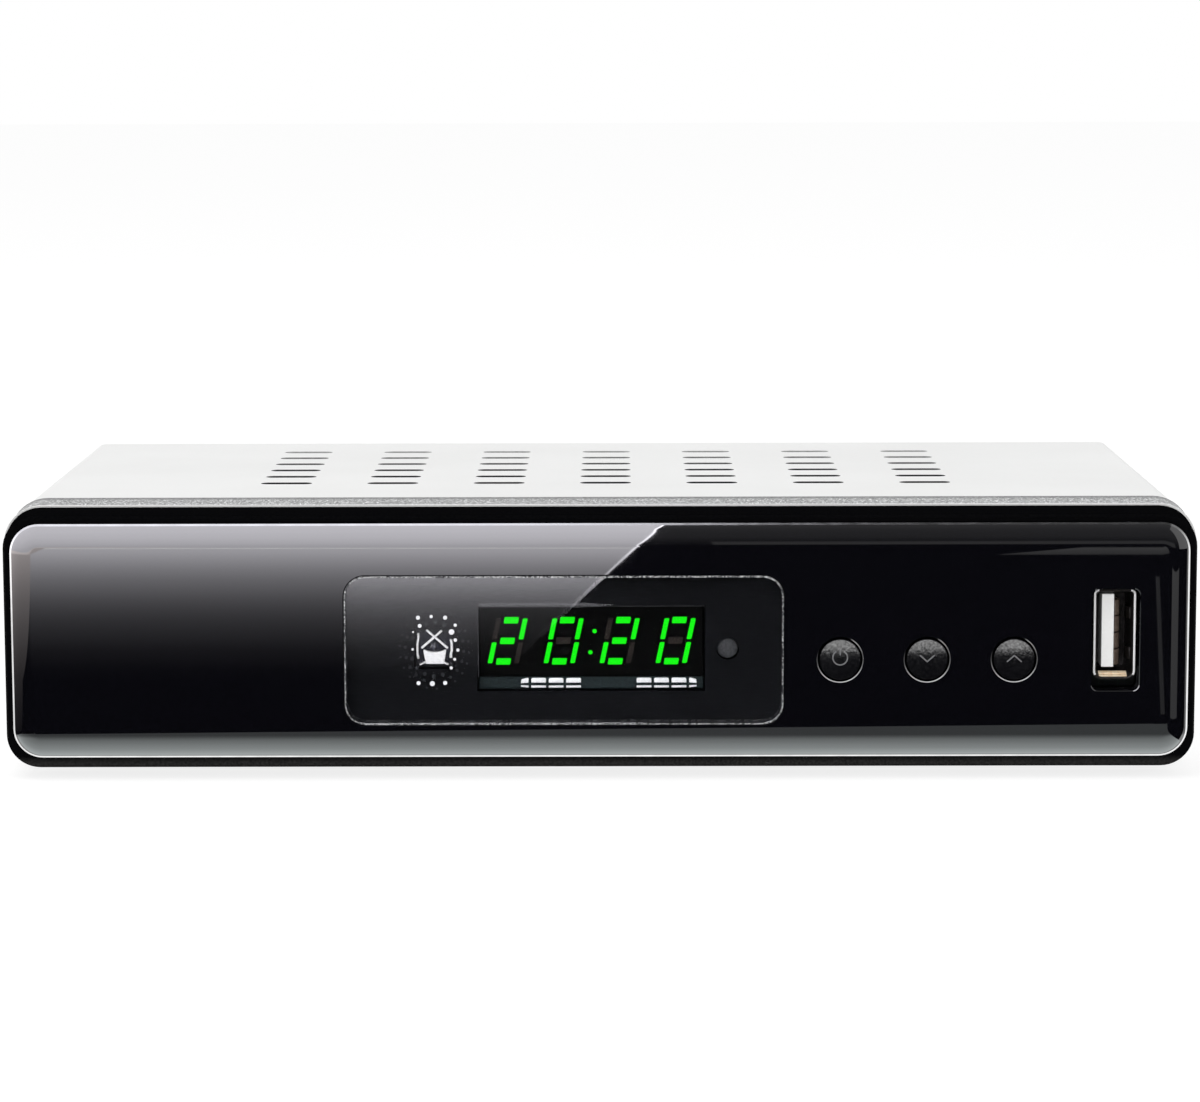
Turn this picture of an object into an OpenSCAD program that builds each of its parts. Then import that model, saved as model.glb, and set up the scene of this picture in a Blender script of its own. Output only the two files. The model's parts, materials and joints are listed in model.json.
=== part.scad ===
// Cable television receiver, a flat set-top box.
// A gloss fascia with a clock display, three push buttons and a data socket sits in a
// black bezel on a silver frame. A folded sheet-metal case behind it holds the front
// board, the main board and the rear sockets.
// Lengths are in millimetres. X runs to the right seen from the front, Y to the back and
// Z up. The origin is under the middle of the part, on the surface that it stands on.

/* [Bezel] */
// Width of the bezel at its front rim
bezel_w = 180; // [170:1:220]
// Height of the bezel at its front rim
bezel_h = 38.45; // [37:0.05:46]
// Corner radius of the front rim
bezel_corner_r = 5; // [4.4:0.1:7]
// Flare of the bezel and frame towards the back, in degrees
bezel_flare = 4.3; // [0:0.1:6]
// Depth of the bezel behind its rim
bezel_depth = 7.1; // [6.5:0.1:9]
// Wall of the bezel and of the frame behind it
bezel_wall = 2; // [1.6:0.1:2.4]
// Radius along the front edge of the rim
bezel_edge_r = 0.6; // [0.2:0.1:0.8]
// Height of the rim's underside above the table
bezel_lift = 1.8; // [1.6:0.1:3]
// Thickness of the web that backs the fascia
web_t = 1.6; // [1.2:0.1:2]
// Length of the tongue that plugs the bezel into the frame
tongue_len = 3; // [2:0.5:4]

/* [Fascia] */
// Rim of the bezel left beside the fascia
rim_side = 1.05; // [0.9:0.05:1.5]
// Rim of the bezel left above the fascia
rim_top = 1.05; // [0.9:0.05:1.8]
// Rim of the bezel left below the fascia
rim_bottom = 1.55; // [0.9:0.05:1.8]
// Corner radius of the fascia
fascia_corner_r = 4.4; // [3.6:0.1:5.4]
// How far the fascia stands out in front of the rim
fascia_rise = 2; // [1.7:0.1:3]
// Depth of the pocket that seats the fascia
fascia_seat = 1; // [0.7:0.1:1.5]
// Width of the rounded margin of the fascia
fascia_margin = 3.4; // [2:0.1:3.5]
// Fall of the rounded margin at the fascia's edge
fascia_drop = 1.6; // [0.6:0.1:1.65]

/* [Display window] */
// Width of the display window
window_w = 66.2; // [60:0.2:72]
// Height of the display window
window_h = 22.7; // [20:0.1:24]
// Corner radius of the display window
window_corner_r = 3.2; // [1.5:0.1:5]
// Middle of the window below the middle of the bezel
window_drop = 1.05; // [0:0.05:2]
// How far the window stands out in front of the fascia
window_proud = 0.25; // [0.1:0.05:0.6]
// Distance from the window to the first button's hole
window_to_button = 4.85; // [3:0.05:8]
// Thickness of the printed mask behind the window
mask_t = 0.2; // [0.1:0.05:0.4]

/* [Clock display] */
// Width of the clock module
clock_w = 34; // [32:0.5:36]
// Height of the clock module
clock_h = 11; // [10:0.1:12]
// Thickness of the clock module on its board
clock_t = 7.2; // [6:0.1:7.4]
// Middle of the clock module to the right of the window's middle
clock_shift = 4.1; // [2:0.1:5]
// Middle of the clock module above the window's middle
clock_raise = 1; // [0.5:0.1:1.5]
// Height of a digit
digit_h = 7.3; // [6:0.1:8]
// Width of an upright digit
digit_w = 4.5; // [4:0.1:5]
// Spacing of the digits
digit_pitch = 8.47; // [7.8:0.01:8.6]
// Slant of the digits in degrees
digit_slant = 11; // [0:1:14]
// Thickness of the level strokes
level_stroke = 1; // [0.7:0.05:1.2]
// Thickness of the upright strokes
upright_stroke = 0.75; // [0.5:0.05:0.9]
// Width of a clock lead
lead_w = 2.2; // [1.2:0.1:2.3]
// Spacing of the clock leads
lead_pitch = 2.65; // [2.54:0.01:2.8]

/* [Remote eye and standby lamp] */
// Width and height of the remote eye's shield
eye_size = 5.7; // [5:0.1:6.2]
// Remote eye to the left of the clock module's edge
eye_to_clock = 6.65; // [5:0.05:8]
// Diameter of the standby lamp
lamp_d = 3; // [2:0.5:4]
// Standby lamp to the right of the clock module's edge
lamp_to_clock = 3.6; // [3:0.1:6]

/* [Buttons] */
// Diameter of a button cap
button_d = 6.2; // [5:0.1:6.6]
// Diameter of the button hole in the fascia
button_hole_d = 7.3; // [7:0.1:8]
// Spacing of the buttons
button_pitch = 13.1; // [12:0.1:14]
// Middle of the buttons below the middle of the bezel
button_drop = 2.5; // [0:0.05:4]
// How far a button cap stands out in front of the fascia
button_proud = 0.2; // [0:0.05:0.6]
// Travel of a button when pressed
button_travel = 0.5; // [0.2:0.05:0.6]
// Last button to the left of the data socket's middle
button_to_socket = 15.25; // [13:0.05:18]

/* [Data socket] */
// Outer width of the data socket's shell
socket_w = 5.7; // [5.6:0.05:5.9]
// Outer height of the data socket's shell
socket_h = 13.1; // [13:0.05:13.5]
// Sheet thickness of the shell
socket_t = 0.3; // [0.25:0.05:0.4]
// Flare of the shell's lips
socket_flare = 0.35; // [0.1:0.05:0.4]
// Middle of the data socket from the right edge of the bezel
socket_from_edge = 12.35; // [11.5:0.05:18]
// Middle of the data socket above the middle of the bezel
socket_raise = 1; // [0.5:0.1:1.5]
// Width of the hole for the data socket
socket_hole_w = 7.15; // [6.9:0.05:8]
// Height of the hole for the data socket
socket_hole_h = 15.5; // [14.8:0.1:16.5]

/* [Frame and case] */
// Depth of the silver frame behind the bezel
frame_depth = 7.1; // [6:0.1:12]
// Bevel along the front edge of the frame
frame_bevel = 0.5; // [0.2:0.1:0.8]
// Length of the skirt that plugs the frame into the case
skirt_len = 6; // [4:0.5:9]
// Depth of the metal case behind the frame
case_depth = 86.5; // [74:0.1:120]
// Sheet thickness of the metal case
sheet_t = 0.8; // [0.5:0.1:1]
// Outside radius of the folds
fold_r = 1.6; // [1.2:0.1:2.5]
// Inset of the case sides from the sides of the rim
case_inset = 1; // [0.5:0.1:2]
// Rise of the case top above the top of the rim
case_top_rise = 0.15; // [0:0.05:0.6]
// Lift of the case bottom above the rim's underside
case_bottom_lift = 0.6; // [0.2:0.1:1.5]
// Height of the lip that folds down over the rear wall
lip_h = 8; // [7:0.5:10]
// Height of the pan's side walls
pan_side_h = 12; // [8:0.5:18]
// Diameter of a rubber foot
foot_d = 10; // [8:0.5:14]

/* [Vents] */
// Number of slots across the cover
vent_columns = 7; // [5:1:8]
// Number of slots from front to back
vent_rows = 6; // [4:1:6]
// Length of a slot
vent_len = 8.2; // [6:0.1:11]
// Width of a slot
vent_w = 2.4; // [1.5:0.1:4]
// Spacing of the slots across the cover
vent_pitch_x = 17.1; // [14:0.1:19]
// Spacing of the slots from front to back
vent_pitch_y = 9.15; // [6:0.05:9.5]
// Middle of the vents in front of the cover's back edge
vents_from_back = 37.1; // [35:0.1:42]
// Middle of the vents to the right of the middle of the cover
vent_shift = 0.8; // [0:0.1:4]

/* [Boards] */
// Thickness of the circuit boards
board_t = 1.6; // [1:0.2:2]
// Height of the standoffs under the main board
standoff_h = 5; // [4:0.5:8]
// Free space between the main board and the case sides
board_side_gap = 5; // [3:0.5:6]
// Distance from the web to the front board
front_board_gap = 6.4; // [6.2:0.1:7]
// Width of the ribbon cable
ribbon_w = 18; // [10:1:24]

/* [Rear sockets] */
// Width of the 21-pin socket
av_w = 47; // [46:0.5:50]
// Height of the 21-pin socket
av_h = 14; // [13:0.5:16]
// Width of the digital picture socket
picture_w = 15; // [14.5:0.1:16]
// Height of the digital picture socket
picture_h = 5.8; // [5.6:0.1:6.4]
// Width of the tuner can
tuner_w = 32; // [31:0.5:36]
// Length of the tuner can
tuner_len = 40; // [30:1:42]
// Height of the tuner can
tuner_h = 14; // [13.6:0.2:18]
// Outer diameter of the aerial plug
aerial_d = 9.5; // [9.4:0.05:9.6]
// Spacing of the two aerial connectors
aerial_pitch = 16; // [15.5:0.1:17]
// Outer diameter of the audio jack
audio_d = 8.3; // [8.2:0.05:8.4]
// Length of the connectors behind the rear wall
connector_reach = 9.5; // [8:0.5:11]

/* [Hidden] */
$fn = 64;

// Clearances
fit = 0.1; // parts that plug into each other
slide = 0.2; // parts that pass through each other
button_gap = 0.3; // round a button and its plunger
screw_gap = 0.05; // round a shank in its pilot hole
socket_lip_gap = 0.25; // above the data socket's lips
over = 1; // how far a cutting shape runs past the face it cuts

// Heights
mid_z = bezel_lift + bezel_h / 2;
case_top = bezel_lift + bezel_h + case_top_rise;
case_bottom = bezel_lift + case_bottom_lift;
pan_top = case_bottom + sheet_t;
board_bottom = pan_top + standoff_h;
board_top = board_bottom + board_t;

// Depths, measured from the front of the rim
web_back = fascia_seat + web_t;
front_board_y = web_back + front_board_gap;
frame_back = bezel_depth + frame_depth;
case_back = frame_back + case_depth;
wall_out = case_back - sheet_t;
wall_in = wall_out - sheet_t;
rear_reach = wall_out + connector_reach;
front_reach = fascia_rise + max(window_proud, button_proud);
mid_y = (rear_reach - front_reach) / 2;

// Widths of the case, and the room that the pan's sides leave behind the skirt
case_w = bezel_w - 2 * case_inset;
pan_w = case_w - 2 * sheet_t - 2 * fit;
pan_side_gap = 1;

// Fascia outline and the features on it
fascia_w = bezel_w - 2 * rim_side - 2 * fit;
fascia_h = bezel_h - rim_top - rim_bottom - 2 * fit;
fascia_z = mid_z + (rim_bottom - rim_top) / 2;
margin = min(fascia_margin, fascia_corner_r - fit);
socket_x = bezel_w / 2 - socket_from_edge;
socket_z = mid_z + socket_raise;
socket_hole_top = socket_z + socket_h / 2 + socket_flare + socket_lip_gap;
socket_hole_z = socket_hole_top - socket_hole_h / 2;
socket_hole_r = 1;
button_x = [for (i = [0:2]) socket_x - button_to_socket - (2 - i) * button_pitch];
button_z = mid_z - button_drop;
window_x = button_x[0] - button_hole_d / 2 - window_to_button - window_w / 2;
window_z = mid_z - window_drop;

// Clock module with its strokes and solder tabs
clock_x = window_x + clock_shift;
clock_z = window_z + clock_raise;
clock_y = front_board_y - clock_t;
lead_h = 1.75;
lead_step = 0.4;
lead_groups = [-0.18, 0.34];
stroke_t = 0.2;
stroke_gap = 0.18;
digit_raise = 0.3;
digit_shift = 0.2;
digit_x = [for (i = [0:3]) clock_x + digit_shift + (i - 1.5) * digit_pitch];
colon_rise = digit_h / 4.5;
view_low = clock_z - clock_h / 2 - lead_h - slide;
view_high = clock_z + clock_h / 2 + slide;
// Strokes of the digits two and nought: top, upper right, lower right, bottom, lower
// left, upper left and middle are numbered from 0
two_lit = [0, 1, 6, 4, 3];
two_unlit = [2, 5];
nought_lit = [0, 1, 2, 3, 4, 5];
nought_unlit = [6];

// Remote eye and standby lamp
eye_x = clock_x - clock_w / 2 - eye_to_clock;
eye_shield_t = 0.3;
eye_rim = 0.7;
eye_bar = 0.6;
eye_shield_y = web_back - 1;
eye_face_y = eye_shield_y + eye_shield_t + slide;
lamp_x = clock_x + clock_w / 2 + lamp_to_clock;
lamp_tip_y = web_back - 1.2;
lamp_collar = 0.4;
lamp_collar_h = 1;

// Key switches and button parts
switch_size = 6;
switch_h = 3.5;
plunger_d = 3.2;
plunger_out = 1.5;
plunger_in = 1.2;
plunger_tip_y = front_board_y - switch_h - plunger_out;
cap_radius = 9;
flange_t = 0.8;
flange_d = button_d + 2.4;
stem_d = 3;
button_bore_d = button_d + 2 * button_gap;

// Data socket
socket_front = 1.6 - fascia_rise;
socket_back_t = 1;
socket_lip = 0.8;
tongue_t = 1.85;
tongue_h = socket_h - 2;
tongue_x = socket_x - socket_w / 2 + socket_t + 0.65 + tongue_t / 2;
tongue_y = socket_front + 0.6;
contact = [0.25, 6.4, 1];
contact_pitch = tongue_h / 4.4;

// Screws: shank diameter, length, head diameter and head height
cover_screw = [2.8, 5, 5.4, 1.7];
small_screw = [2, 5, 4.2, 1.4];
frame_screw = [small_screw[0], small_screw[1], small_screw[2], case_bottom * 0.6];
board_screw = [cover_screw[0], board_t + standoff_h - 1, cover_screw[2], cover_screw[3]];
cover_screw_z = case_top - lip_h / 2 - sheet_t / 2;
cover_screw_x = case_w * 0.4;
frame_screw_x = case_w * 0.32;
frame_screw_y = frame_back + skirt_len / 2;
frame_boss = [8, skirt_len - 2 * fit, 8];

// Front board outline and its four screws
boss_d = 5;
boss_inset = boss_d / 2 + 0.4;
front_board_left = eye_x - eye_size / 2 - boss_d;
front_board_right = socket_x + socket_w / 2 + 3.2;
front_board_low = window_z - window_h / 2 - 2;
front_board_high = socket_hole_top + boss_d + 1;
front_board_screw_at = [
  for (x = [front_board_left + boss_inset, front_board_right - boss_inset],
    z = [front_board_low + boss_inset, front_board_high - boss_inset]) [x, z]];

// Main board outline and its four screws
main_w = case_w - 2 * board_side_gap;
main_front = frame_back + skirt_len + 3;
main_back = wall_in - 0.5;
main_screw_inset = 4;
main_screw_at = [
  for (x = [-1, 1], y = [main_front + main_screw_inset, main_back - main_screw_inset])
    [x * (main_w / 2 - main_screw_inset), y]];
standoff_d = 6;

// Rear sockets, spread evenly along the main board
power_w = 9;
power_h = 11;
power_len = 14;
power_bore = [6.3, 10];
power_pin_d = 2;
power_pin_setback = 0.5;
audio_w = 10;
audio_len = 12;
audio_bore = [3.4, 6];
rear_gap = (main_w - power_w - audio_w - av_w - picture_w - tuner_w) / 6;
power_x = -main_w / 2 + rear_gap + power_w / 2;
audio_x = power_x + power_w / 2 + rear_gap + audio_w / 2;
av_x = audio_x + audio_w / 2 + rear_gap + av_w / 2;
picture_x = av_x + av_w / 2 + rear_gap + picture_w / 2;
tuner_x = picture_x + picture_w / 2 + rear_gap + tuner_w / 2;
power_y = wall_out + slide;
power_z = board_top + 6.5;
audio_z = board_top + 7;
audio_top = audio_z + 6;
audio_insert_d = audio_d - 1.4;
audio_collar_d = audio_d + 1.5;
insert_setback = 0.5;
av_y = wall_out + 2;
av_len = 20;
av_groove = 1.6;
av_wall = 1.4;
av_slits = 10;
av_slit = [1.2, 2];
picture_y = wall_out + 0.6;
picture_len = 11;
picture_t = 0.4;
picture_back_t = 2;
picture_z = board_top + picture_h / 2;
picture_tongue = [picture_w - 3.6, 1.2];
picture_tongue_setback = 1.5;
tuner_back = wall_in - slide;
aerial_z = board_top + tuner_h / 2 + 1;
aerial_x = [tuner_x + aerial_pitch / 2, tuner_x - aerial_pitch / 2];
aerial_wall = 0.7;
can_t = 0.6;
collar_y = wall_out + 1;
aerial_floor = 2;
aerial_socket_d = aerial_d + 2.5;
aerial_pin_d = 2.3;
aerial_contact_d = 4;
contact_floor = 1;
contact_setback = 1;

// Parts on the main board
chip_size = 16;
chip_t = 1.6;
chip_from_side = 70;
chip_from_front = 27;
chip_x = -main_w / 2 + chip_from_side;
chip_y = main_front + chip_from_front;
sink_size = 28;
sink_base = 2;
sink_fin_h = 8;
sink_fins = 7;
sink_fin_t = 1.4;
memory_size = [10, 8, 1.2];
memory_from_sink = 11;
memory_x = chip_x + sink_size / 2 + memory_from_sink;
memory_step = 7;
coil_size = [8, 8, 4];
// Places of the cans and coils from the power corner of the board, then can diameter
// and height
supply_from_side = 18;
supply_x = -main_w / 2 + supply_from_side;
cans = [[0, 19, 10, 14], [13, 19, 8, 12], [0, 33, 10, 14], [13, 33, 8, 12], [25, 45, 6.3, 8]];
coil_at = [[0, 46], [13, 46], [25, 10]];

// Ribbon cable and its headers
header_size = [ribbon_w + 4, 5, 6];
header_x = clock_x + 2;
header_y = main_front + 5;
header_z = board_top + header_size[2] / 2;
ribbon_t = 0.8;
ribbon_hump = 3;
ribbon_steps = 24;

// Flat outlines

module rounded_rect(w, h, r) {
  square([w - 2 * r, h], center = true);
  square([w, h - 2 * r], center = true);
  for (sx = [-1, 1], sy = [-1, 1])
    translate([sx * (w / 2 - r), sy * (h / 2 - r)]) circle(r);
}

// Outline of the front rim, drawn in by an inset
module rim_outline(inset) {
  translate([0, mid_z])
    rounded_rect(bezel_w - 2 * inset, bezel_h - 2 * inset, bezel_corner_r - inset);
}

module fascia_outline(grow) {
  translate([0, fascia_z])
    rounded_rect(fascia_w + 2 * grow, fascia_h + 2 * grow, fascia_corner_r + grow);
}

module window_outline(grow) {
  translate([window_x, window_z])
    rounded_rect(window_w + 2 * grow, window_h + 2 * grow, window_corner_r + grow);
}

module skirt_outline(inset) {
  low = pan_top + fit;
  high = case_top - sheet_t - fit;
  translate([0, (low + high) / 2])
    rounded_rect(pan_w - 2 * inset, high - low - 2 * inset, fold_r);
}

// A flat floor with two sides, folded up at radius r from sheet of thickness t
module channel_outline(w, h, t, r) {
  difference() {
    folded_block(w, h, r);
    translate([0, t]) folded_block(w - 2 * t, h, r - t);
  }
}

module folded_block(w, h, r) {
  translate([-w / 2, r]) square([w, h - r]);
  translate([r - w / 2, 0]) square([w - 2 * r, h]);
  for (s = [-1, 1]) translate([s * (w / 2 - r), r]) circle(r);
}

// Solid shapes

// Stands a flat drawing upright, facing the front, and gives it depth from y0 to y1
module upright(y0, y1) {
  translate([0, y1, 0]) rotate([90, 0, 0]) linear_extrude(y1 - y0) children();
}

// A round bar along Y
module bar_y(x, z, d, y0, y1) {
  translate([x, y0, z]) rotate([-90, 0, 0]) cylinder(d = d, h = y1 - y0);
}

// A block given by its middle and width in X, and its ranges in Y and Z
module block(x, w, y0, y1, z0, z1) {
  translate([x - w / 2, y0, z0]) cube([w, y1 - y0, z1 - z0]);
}

// An upright rounded plate with a shaped edge, from y0 to y1. The edge profile's X runs
// out from the corner centres and its Y runs to the front.
module edged_plate(x, z, w, h, r, y0, y1) {
  translate([x, 0, z]) rotate([90, 0, 0]) {
    for (i = [0:3]) {
      across = i % 2 == 0 ? w : h;
      run = (i % 2 == 0 ? h : w) - 2 * r;
      rotate(90 * i) translate([across / 2 - r, run / 2, 0]) {
        rotate([90, 0, 0]) linear_extrude(run) children();
        rotate_extrude(angle = 90) children();
      }
    }
    translate([r - w / 2, r - h / 2, -y1]) cube([w - 2 * r, h - 2 * r, y1 - y0]);
  }
}

// A pan-head screw along -Z with its head on z = 0
module screw(size) {
  slot = [size[2] * 0.6, size[2] * 0.16];
  difference() {
    union() {
      translate([0, 0, -size[1]]) cylinder(d = size[0] - 2 * screw_gap, h = size[1] + size[3] / 2);
      cylinder(d1 = size[2], d2 = size[2] * 0.7, h = size[3]);
    }
    for (turn = [0, 90]) rotate(turn)
      translate([-slot[0] / 2, -slot[1] / 2, size[3] / 2]) cube([slot[0], slot[1], size[3]]);
  }
}

// Metal case

module vent_slot() {
  run = vent_len - vent_w;
  depth = sheet_t + 2 * over;
  translate([-run / 2, -vent_w / 2, 0]) cube([run, vent_w, depth]);
  for (s = [-1, 1]) translate([s * run / 2, 0, 0]) cylinder(d = vent_w, h = depth);
}

module top_cover() {
  lip_w = pan_w - 2 * fold_r;
  color("whitesmoke") difference() {
    union() {
      translate([0, 0, case_top]) mirror([0, 0, 1]) upright(frame_back, case_back)
        channel_outline(case_w, case_top - case_bottom, sheet_t, fold_r);
      block(0, lip_w, wall_out, case_back, case_top - lip_h, case_top - sheet_t / 2);
    }
    for (i = [0:vent_columns - 1], j = [0:vent_rows - 1]) {
      x = vent_shift + (i - (vent_columns - 1) / 2) * vent_pitch_x;
      y = case_back - vents_from_back + (j - (vent_rows - 1) / 2) * vent_pitch_y;
      translate([x, y, case_top - sheet_t - over]) vent_slot();
    }
    for (s = [-1:1])
      bar_y(s * cover_screw_x, cover_screw_z, cover_screw[0] + 2 * slide, wall_out - over,
        case_back + over);
  }
}

module base_pan() {
  sides_y = frame_back + skirt_len + pan_side_gap;
  wall_h = case_top - case_bottom - sheet_t - fit;
  color("silver") difference() {
    union() {
      block(0, pan_w, frame_back, sides_y, case_bottom, pan_top);
      upright(sides_y, wall_out) translate([0, case_bottom])
        channel_outline(pan_w, pan_side_h, sheet_t, fold_r);
      upright(wall_in, wall_out) translate([0, case_bottom + wall_h / 2])
        rounded_rect(pan_w, wall_h, fold_r);
    }
    for (s = [-1:1])
      bar_y(s * cover_screw_x, cover_screw_z, cover_screw[0], wall_in - over, wall_out + over);
    for (s = [-1, 1]) translate([s * frame_screw_x, frame_screw_y, case_bottom - over])
      cylinder(d = small_screw[0] + 2 * slide, h = sheet_t + 2 * over);
    rear_cutouts(wall_in - over, wall_out + over);
  }
}

module rear_cutouts(y0, y1) {
  low = board_top - slide;
  block(av_x, av_w + 2 * slide, y0, y1, low, board_top + av_h + slide);
  block(picture_x, picture_w + 2 * slide, y0, y1, low, board_top + picture_h + slide);
  block(power_x, power_w + 2 * slide, y0, y1, low, board_top + power_h + slide);
  bar_y(audio_x, audio_z, audio_collar_d + 2 * slide, y0, y1);
  for (x = aerial_x) bar_y(x, aerial_z, aerial_socket_d + 2 * slide, y0, y1);
}

module rubber_feet() {
  rounding = case_bottom / 3;
  for (s = [-1, 1], y = [frame_back + foot_d, case_back - 1.5 * foot_d])
    color("dimgray") translate([s * (case_w / 2 - 1.6 * foot_d), y, 0]) rotate_extrude() {
      square([foot_d / 2 - rounding, case_bottom]);
      translate([0, rounding]) square([foot_d / 2, case_bottom - rounding]);
      translate([foot_d / 2 - rounding, rounding]) circle(rounding);
    }
}

module cover_screws() {
  for (s = [-1:1]) color("silver")
    translate([s * cover_screw_x, case_back, cover_screw_z]) rotate([-90, 0, 0]) screw(cover_screw);
}

// Silver frame

module frame_profile() {
  spread = tan(bezel_flare);
  polygon([
    [0, -frame_back],
    [bezel_corner_r + spread * frame_back, -frame_back],
    [bezel_corner_r + spread * bezel_depth, -bezel_depth - frame_bevel],
    [bezel_corner_r + spread * bezel_depth - frame_bevel, -bezel_depth],
    [0, -bezel_depth]]);
}

module front_frame() {
  color("darkgray") difference() {
    union() {
      edged_plate(0, mid_z, bezel_w, bezel_h, bezel_corner_r, bezel_depth, frame_back) frame_profile();
      upright(frame_back - over, frame_back + skirt_len) skirt_outline(0);
    }
    upright(bezel_depth - over, frame_back - bezel_wall) rim_outline(bezel_wall);
    difference() {
      upright(frame_back - bezel_wall - over, frame_back + skirt_len + over) skirt_outline(bezel_wall);
      for (s = [-1, 1]) frame_post(s);
    }
    for (s = [-1, 1]) translate([s * frame_screw_x, frame_screw_y, pan_top - over])
      cylinder(d = small_screw[0], h = small_screw[1] + 2 * over);
  }
}

// Post inside the skirt that takes a screw from below
module frame_post(s) {
  block(s * frame_screw_x, frame_boss[0], frame_screw_y - frame_boss[1] / 2,
    frame_screw_y + frame_boss[1] / 2, pan_top, pan_top + frame_boss[2]);
}

module frame_screws() {
  for (s = [-1, 1]) color("silver")
    translate([s * frame_screw_x, frame_screw_y, case_bottom]) mirror([0, 0, 1]) screw(frame_screw);
}

// Bezel, fascia and window

module bezel_profile() {
  difference() {
    polygon([
      [0, -bezel_depth],
      [bezel_corner_r + tan(bezel_flare) * bezel_depth, -bezel_depth],
      [bezel_corner_r, 0],
      [0, 0]]);
    translate([bezel_corner_r - bezel_edge_r, -bezel_edge_r]) difference() {
      square(bezel_edge_r + over);
      circle(bezel_edge_r);
    }
  }
}

module bezel() {
  tongue_inset = bezel_wall + fit;
  color([0.03, 0.03, 0.035]) difference() {
    union() {
      edged_plate(0, mid_z, bezel_w, bezel_h, bezel_corner_r, 0, bezel_depth) bezel_profile();
      upright(bezel_depth - over, bezel_depth + tongue_len) rim_outline(tongue_inset);
    }
    upright(-over, fascia_seat) fascia_outline(fit);
    difference() {
      union() {
        upright(web_back, bezel_depth - tongue_len / 2) rim_outline(bezel_wall);
        upright(web_back, bezel_depth + tongue_len + over) rim_outline(tongue_inset + bezel_wall / 2);
      }
      for (at = front_board_screw_at) bar_y(at[0], at[1], boss_d, web_back - over, front_board_y);
    }
    for (at = front_board_screw_at)
      bar_y(at[0], at[1], small_screw[0], front_board_y - small_screw[1], front_board_y + over);
    for (x = button_x) bar_y(x, button_z, button_bore_d, 0, web_back + over);
    view_openings(0, web_back + over);
    socket_hole(0, web_back + over);
  }
}

// Openings for the clock, the remote eye and the standby lamp
module view_openings(y0, y1) {
  eye_half = eye_size / 2 + slide;
  block(clock_x, clock_w + 2 * slide, y0, y1, view_low, view_high);
  block(eye_x, 2 * eye_half, y0, y1, window_z - eye_half, window_z + eye_half);
  bar_y(lamp_x, window_z, lamp_d + 2 * slide, y0, y1);
}

module socket_hole(y0, y1) {
  upright(y0, y1) translate([socket_x, socket_hole_z])
    rounded_rect(socket_hole_w, socket_hole_h, socket_hole_r);
}

module fascia_profile() {
  r = (margin * margin + fascia_drop * fascia_drop) / (2 * fascia_drop);
  flat = fascia_corner_r - margin;
  depth = fascia_rise + fascia_seat;
  translate([0, -fascia_seat]) square([flat, depth]);
  intersection() {
    translate([flat, -fascia_seat]) square([margin, depth]);
    translate([flat, fascia_rise - r]) circle(r);
  }
}

module fascia() {
  lead_in = (button_hole_d - button_bore_d) / 2;
  front = -fascia_rise - over;
  back = fascia_seat + over;
  color([0.02, 0.02, 0.025]) difference() {
    edged_plate(0, fascia_z, fascia_w, fascia_h, fascia_corner_r, -fascia_rise, fascia_seat)
      fascia_profile();
    upright(front, back) window_outline(fit);
    for (x = button_x) {
      bar_y(x, button_z, button_bore_d, front, back);
      translate([x, -fascia_rise, button_z]) rotate([-90, 0, 0])
        cylinder(d1 = button_hole_d, d2 = button_bore_d, h = lead_in);
    }
    socket_hole(front, back);
  }
}

module window_profile() {
  top = fascia_rise + window_proud;
  bottom = mask_t - fascia_seat;
  polygon([
    [0, bottom],
    [window_corner_r, bottom],
    [window_corner_r, top - window_proud],
    [window_corner_r - window_proud, top],
    [0, top]]);
}

module display_window() {
  color([0.12, 0.13, 0.14, 0.6])
    edged_plate(window_x, window_z, window_w, window_h, window_corner_r,
      -fascia_rise - window_proud, fascia_seat - mask_t) window_profile();
}

module window_mask() {
  color([0.06, 0.06, 0.065]) difference() {
    upright(fascia_seat - mask_t, fascia_seat) window_outline(0);
    view_openings(fascia_seat - mask_t - over, fascia_seat + over);
  }
}

// Buttons and key switches

module button(i) {
  front = -fascia_rise - button_proud;
  fall = cap_radius - sqrt(cap_radius * cap_radius - button_d * button_d / 4);
  color([0.05, 0.05, 0.055]) translate([button_x[i], 0, button_z]) rotate([-90, 0, 0]) union() {
    intersection() {
      translate([0, 0, front]) cylinder(d = button_d, h = 2 * fall);
      translate([0, 0, front + cap_radius]) sphere(cap_radius);
    }
    translate([0, 0, front + fall]) cylinder(d = button_d, h = web_back - front - fall);
    translate([0, 0, web_back]) cylinder(d = flange_d, h = flange_t);
    translate([0, 0, web_back]) cylinder(d = stem_d, h = plunger_tip_y - web_back);
  }
}

module plunger(i) {
  color("saddlebrown")
    bar_y(button_x[i], button_z, plunger_d, plunger_tip_y, plunger_tip_y + plunger_out + plunger_in);
}

module key_switches() {
  front = front_board_y - switch_h;
  well = plunger_in + button_travel + button_gap;
  for (x = button_x) color([0.15, 0.15, 0.16]) difference() {
    block(x, switch_size, front, front_board_y, button_z - switch_size / 2, button_z + switch_size / 2);
    bar_y(x, button_z, plunger_d + 2 * button_gap, front - over, front + well);
  }
}

// Front board and what stands on it

module front_board() {
  color("darkgreen") difference() {
    translate([front_board_left, front_board_y, front_board_low])
      cube([front_board_right - front_board_left, board_t, front_board_high - front_board_low]);
    for (at = front_board_screw_at)
      bar_y(at[0], at[1], small_screw[0] + 2 * slide, front_board_y - over, front_board_y + board_t + over);
  }
}

module front_board_screws() {
  for (at = front_board_screw_at) color("silver")
    translate([at[0], front_board_y + board_t, at[1]]) rotate([-90, 0, 0]) screw(small_screw);
}

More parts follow.
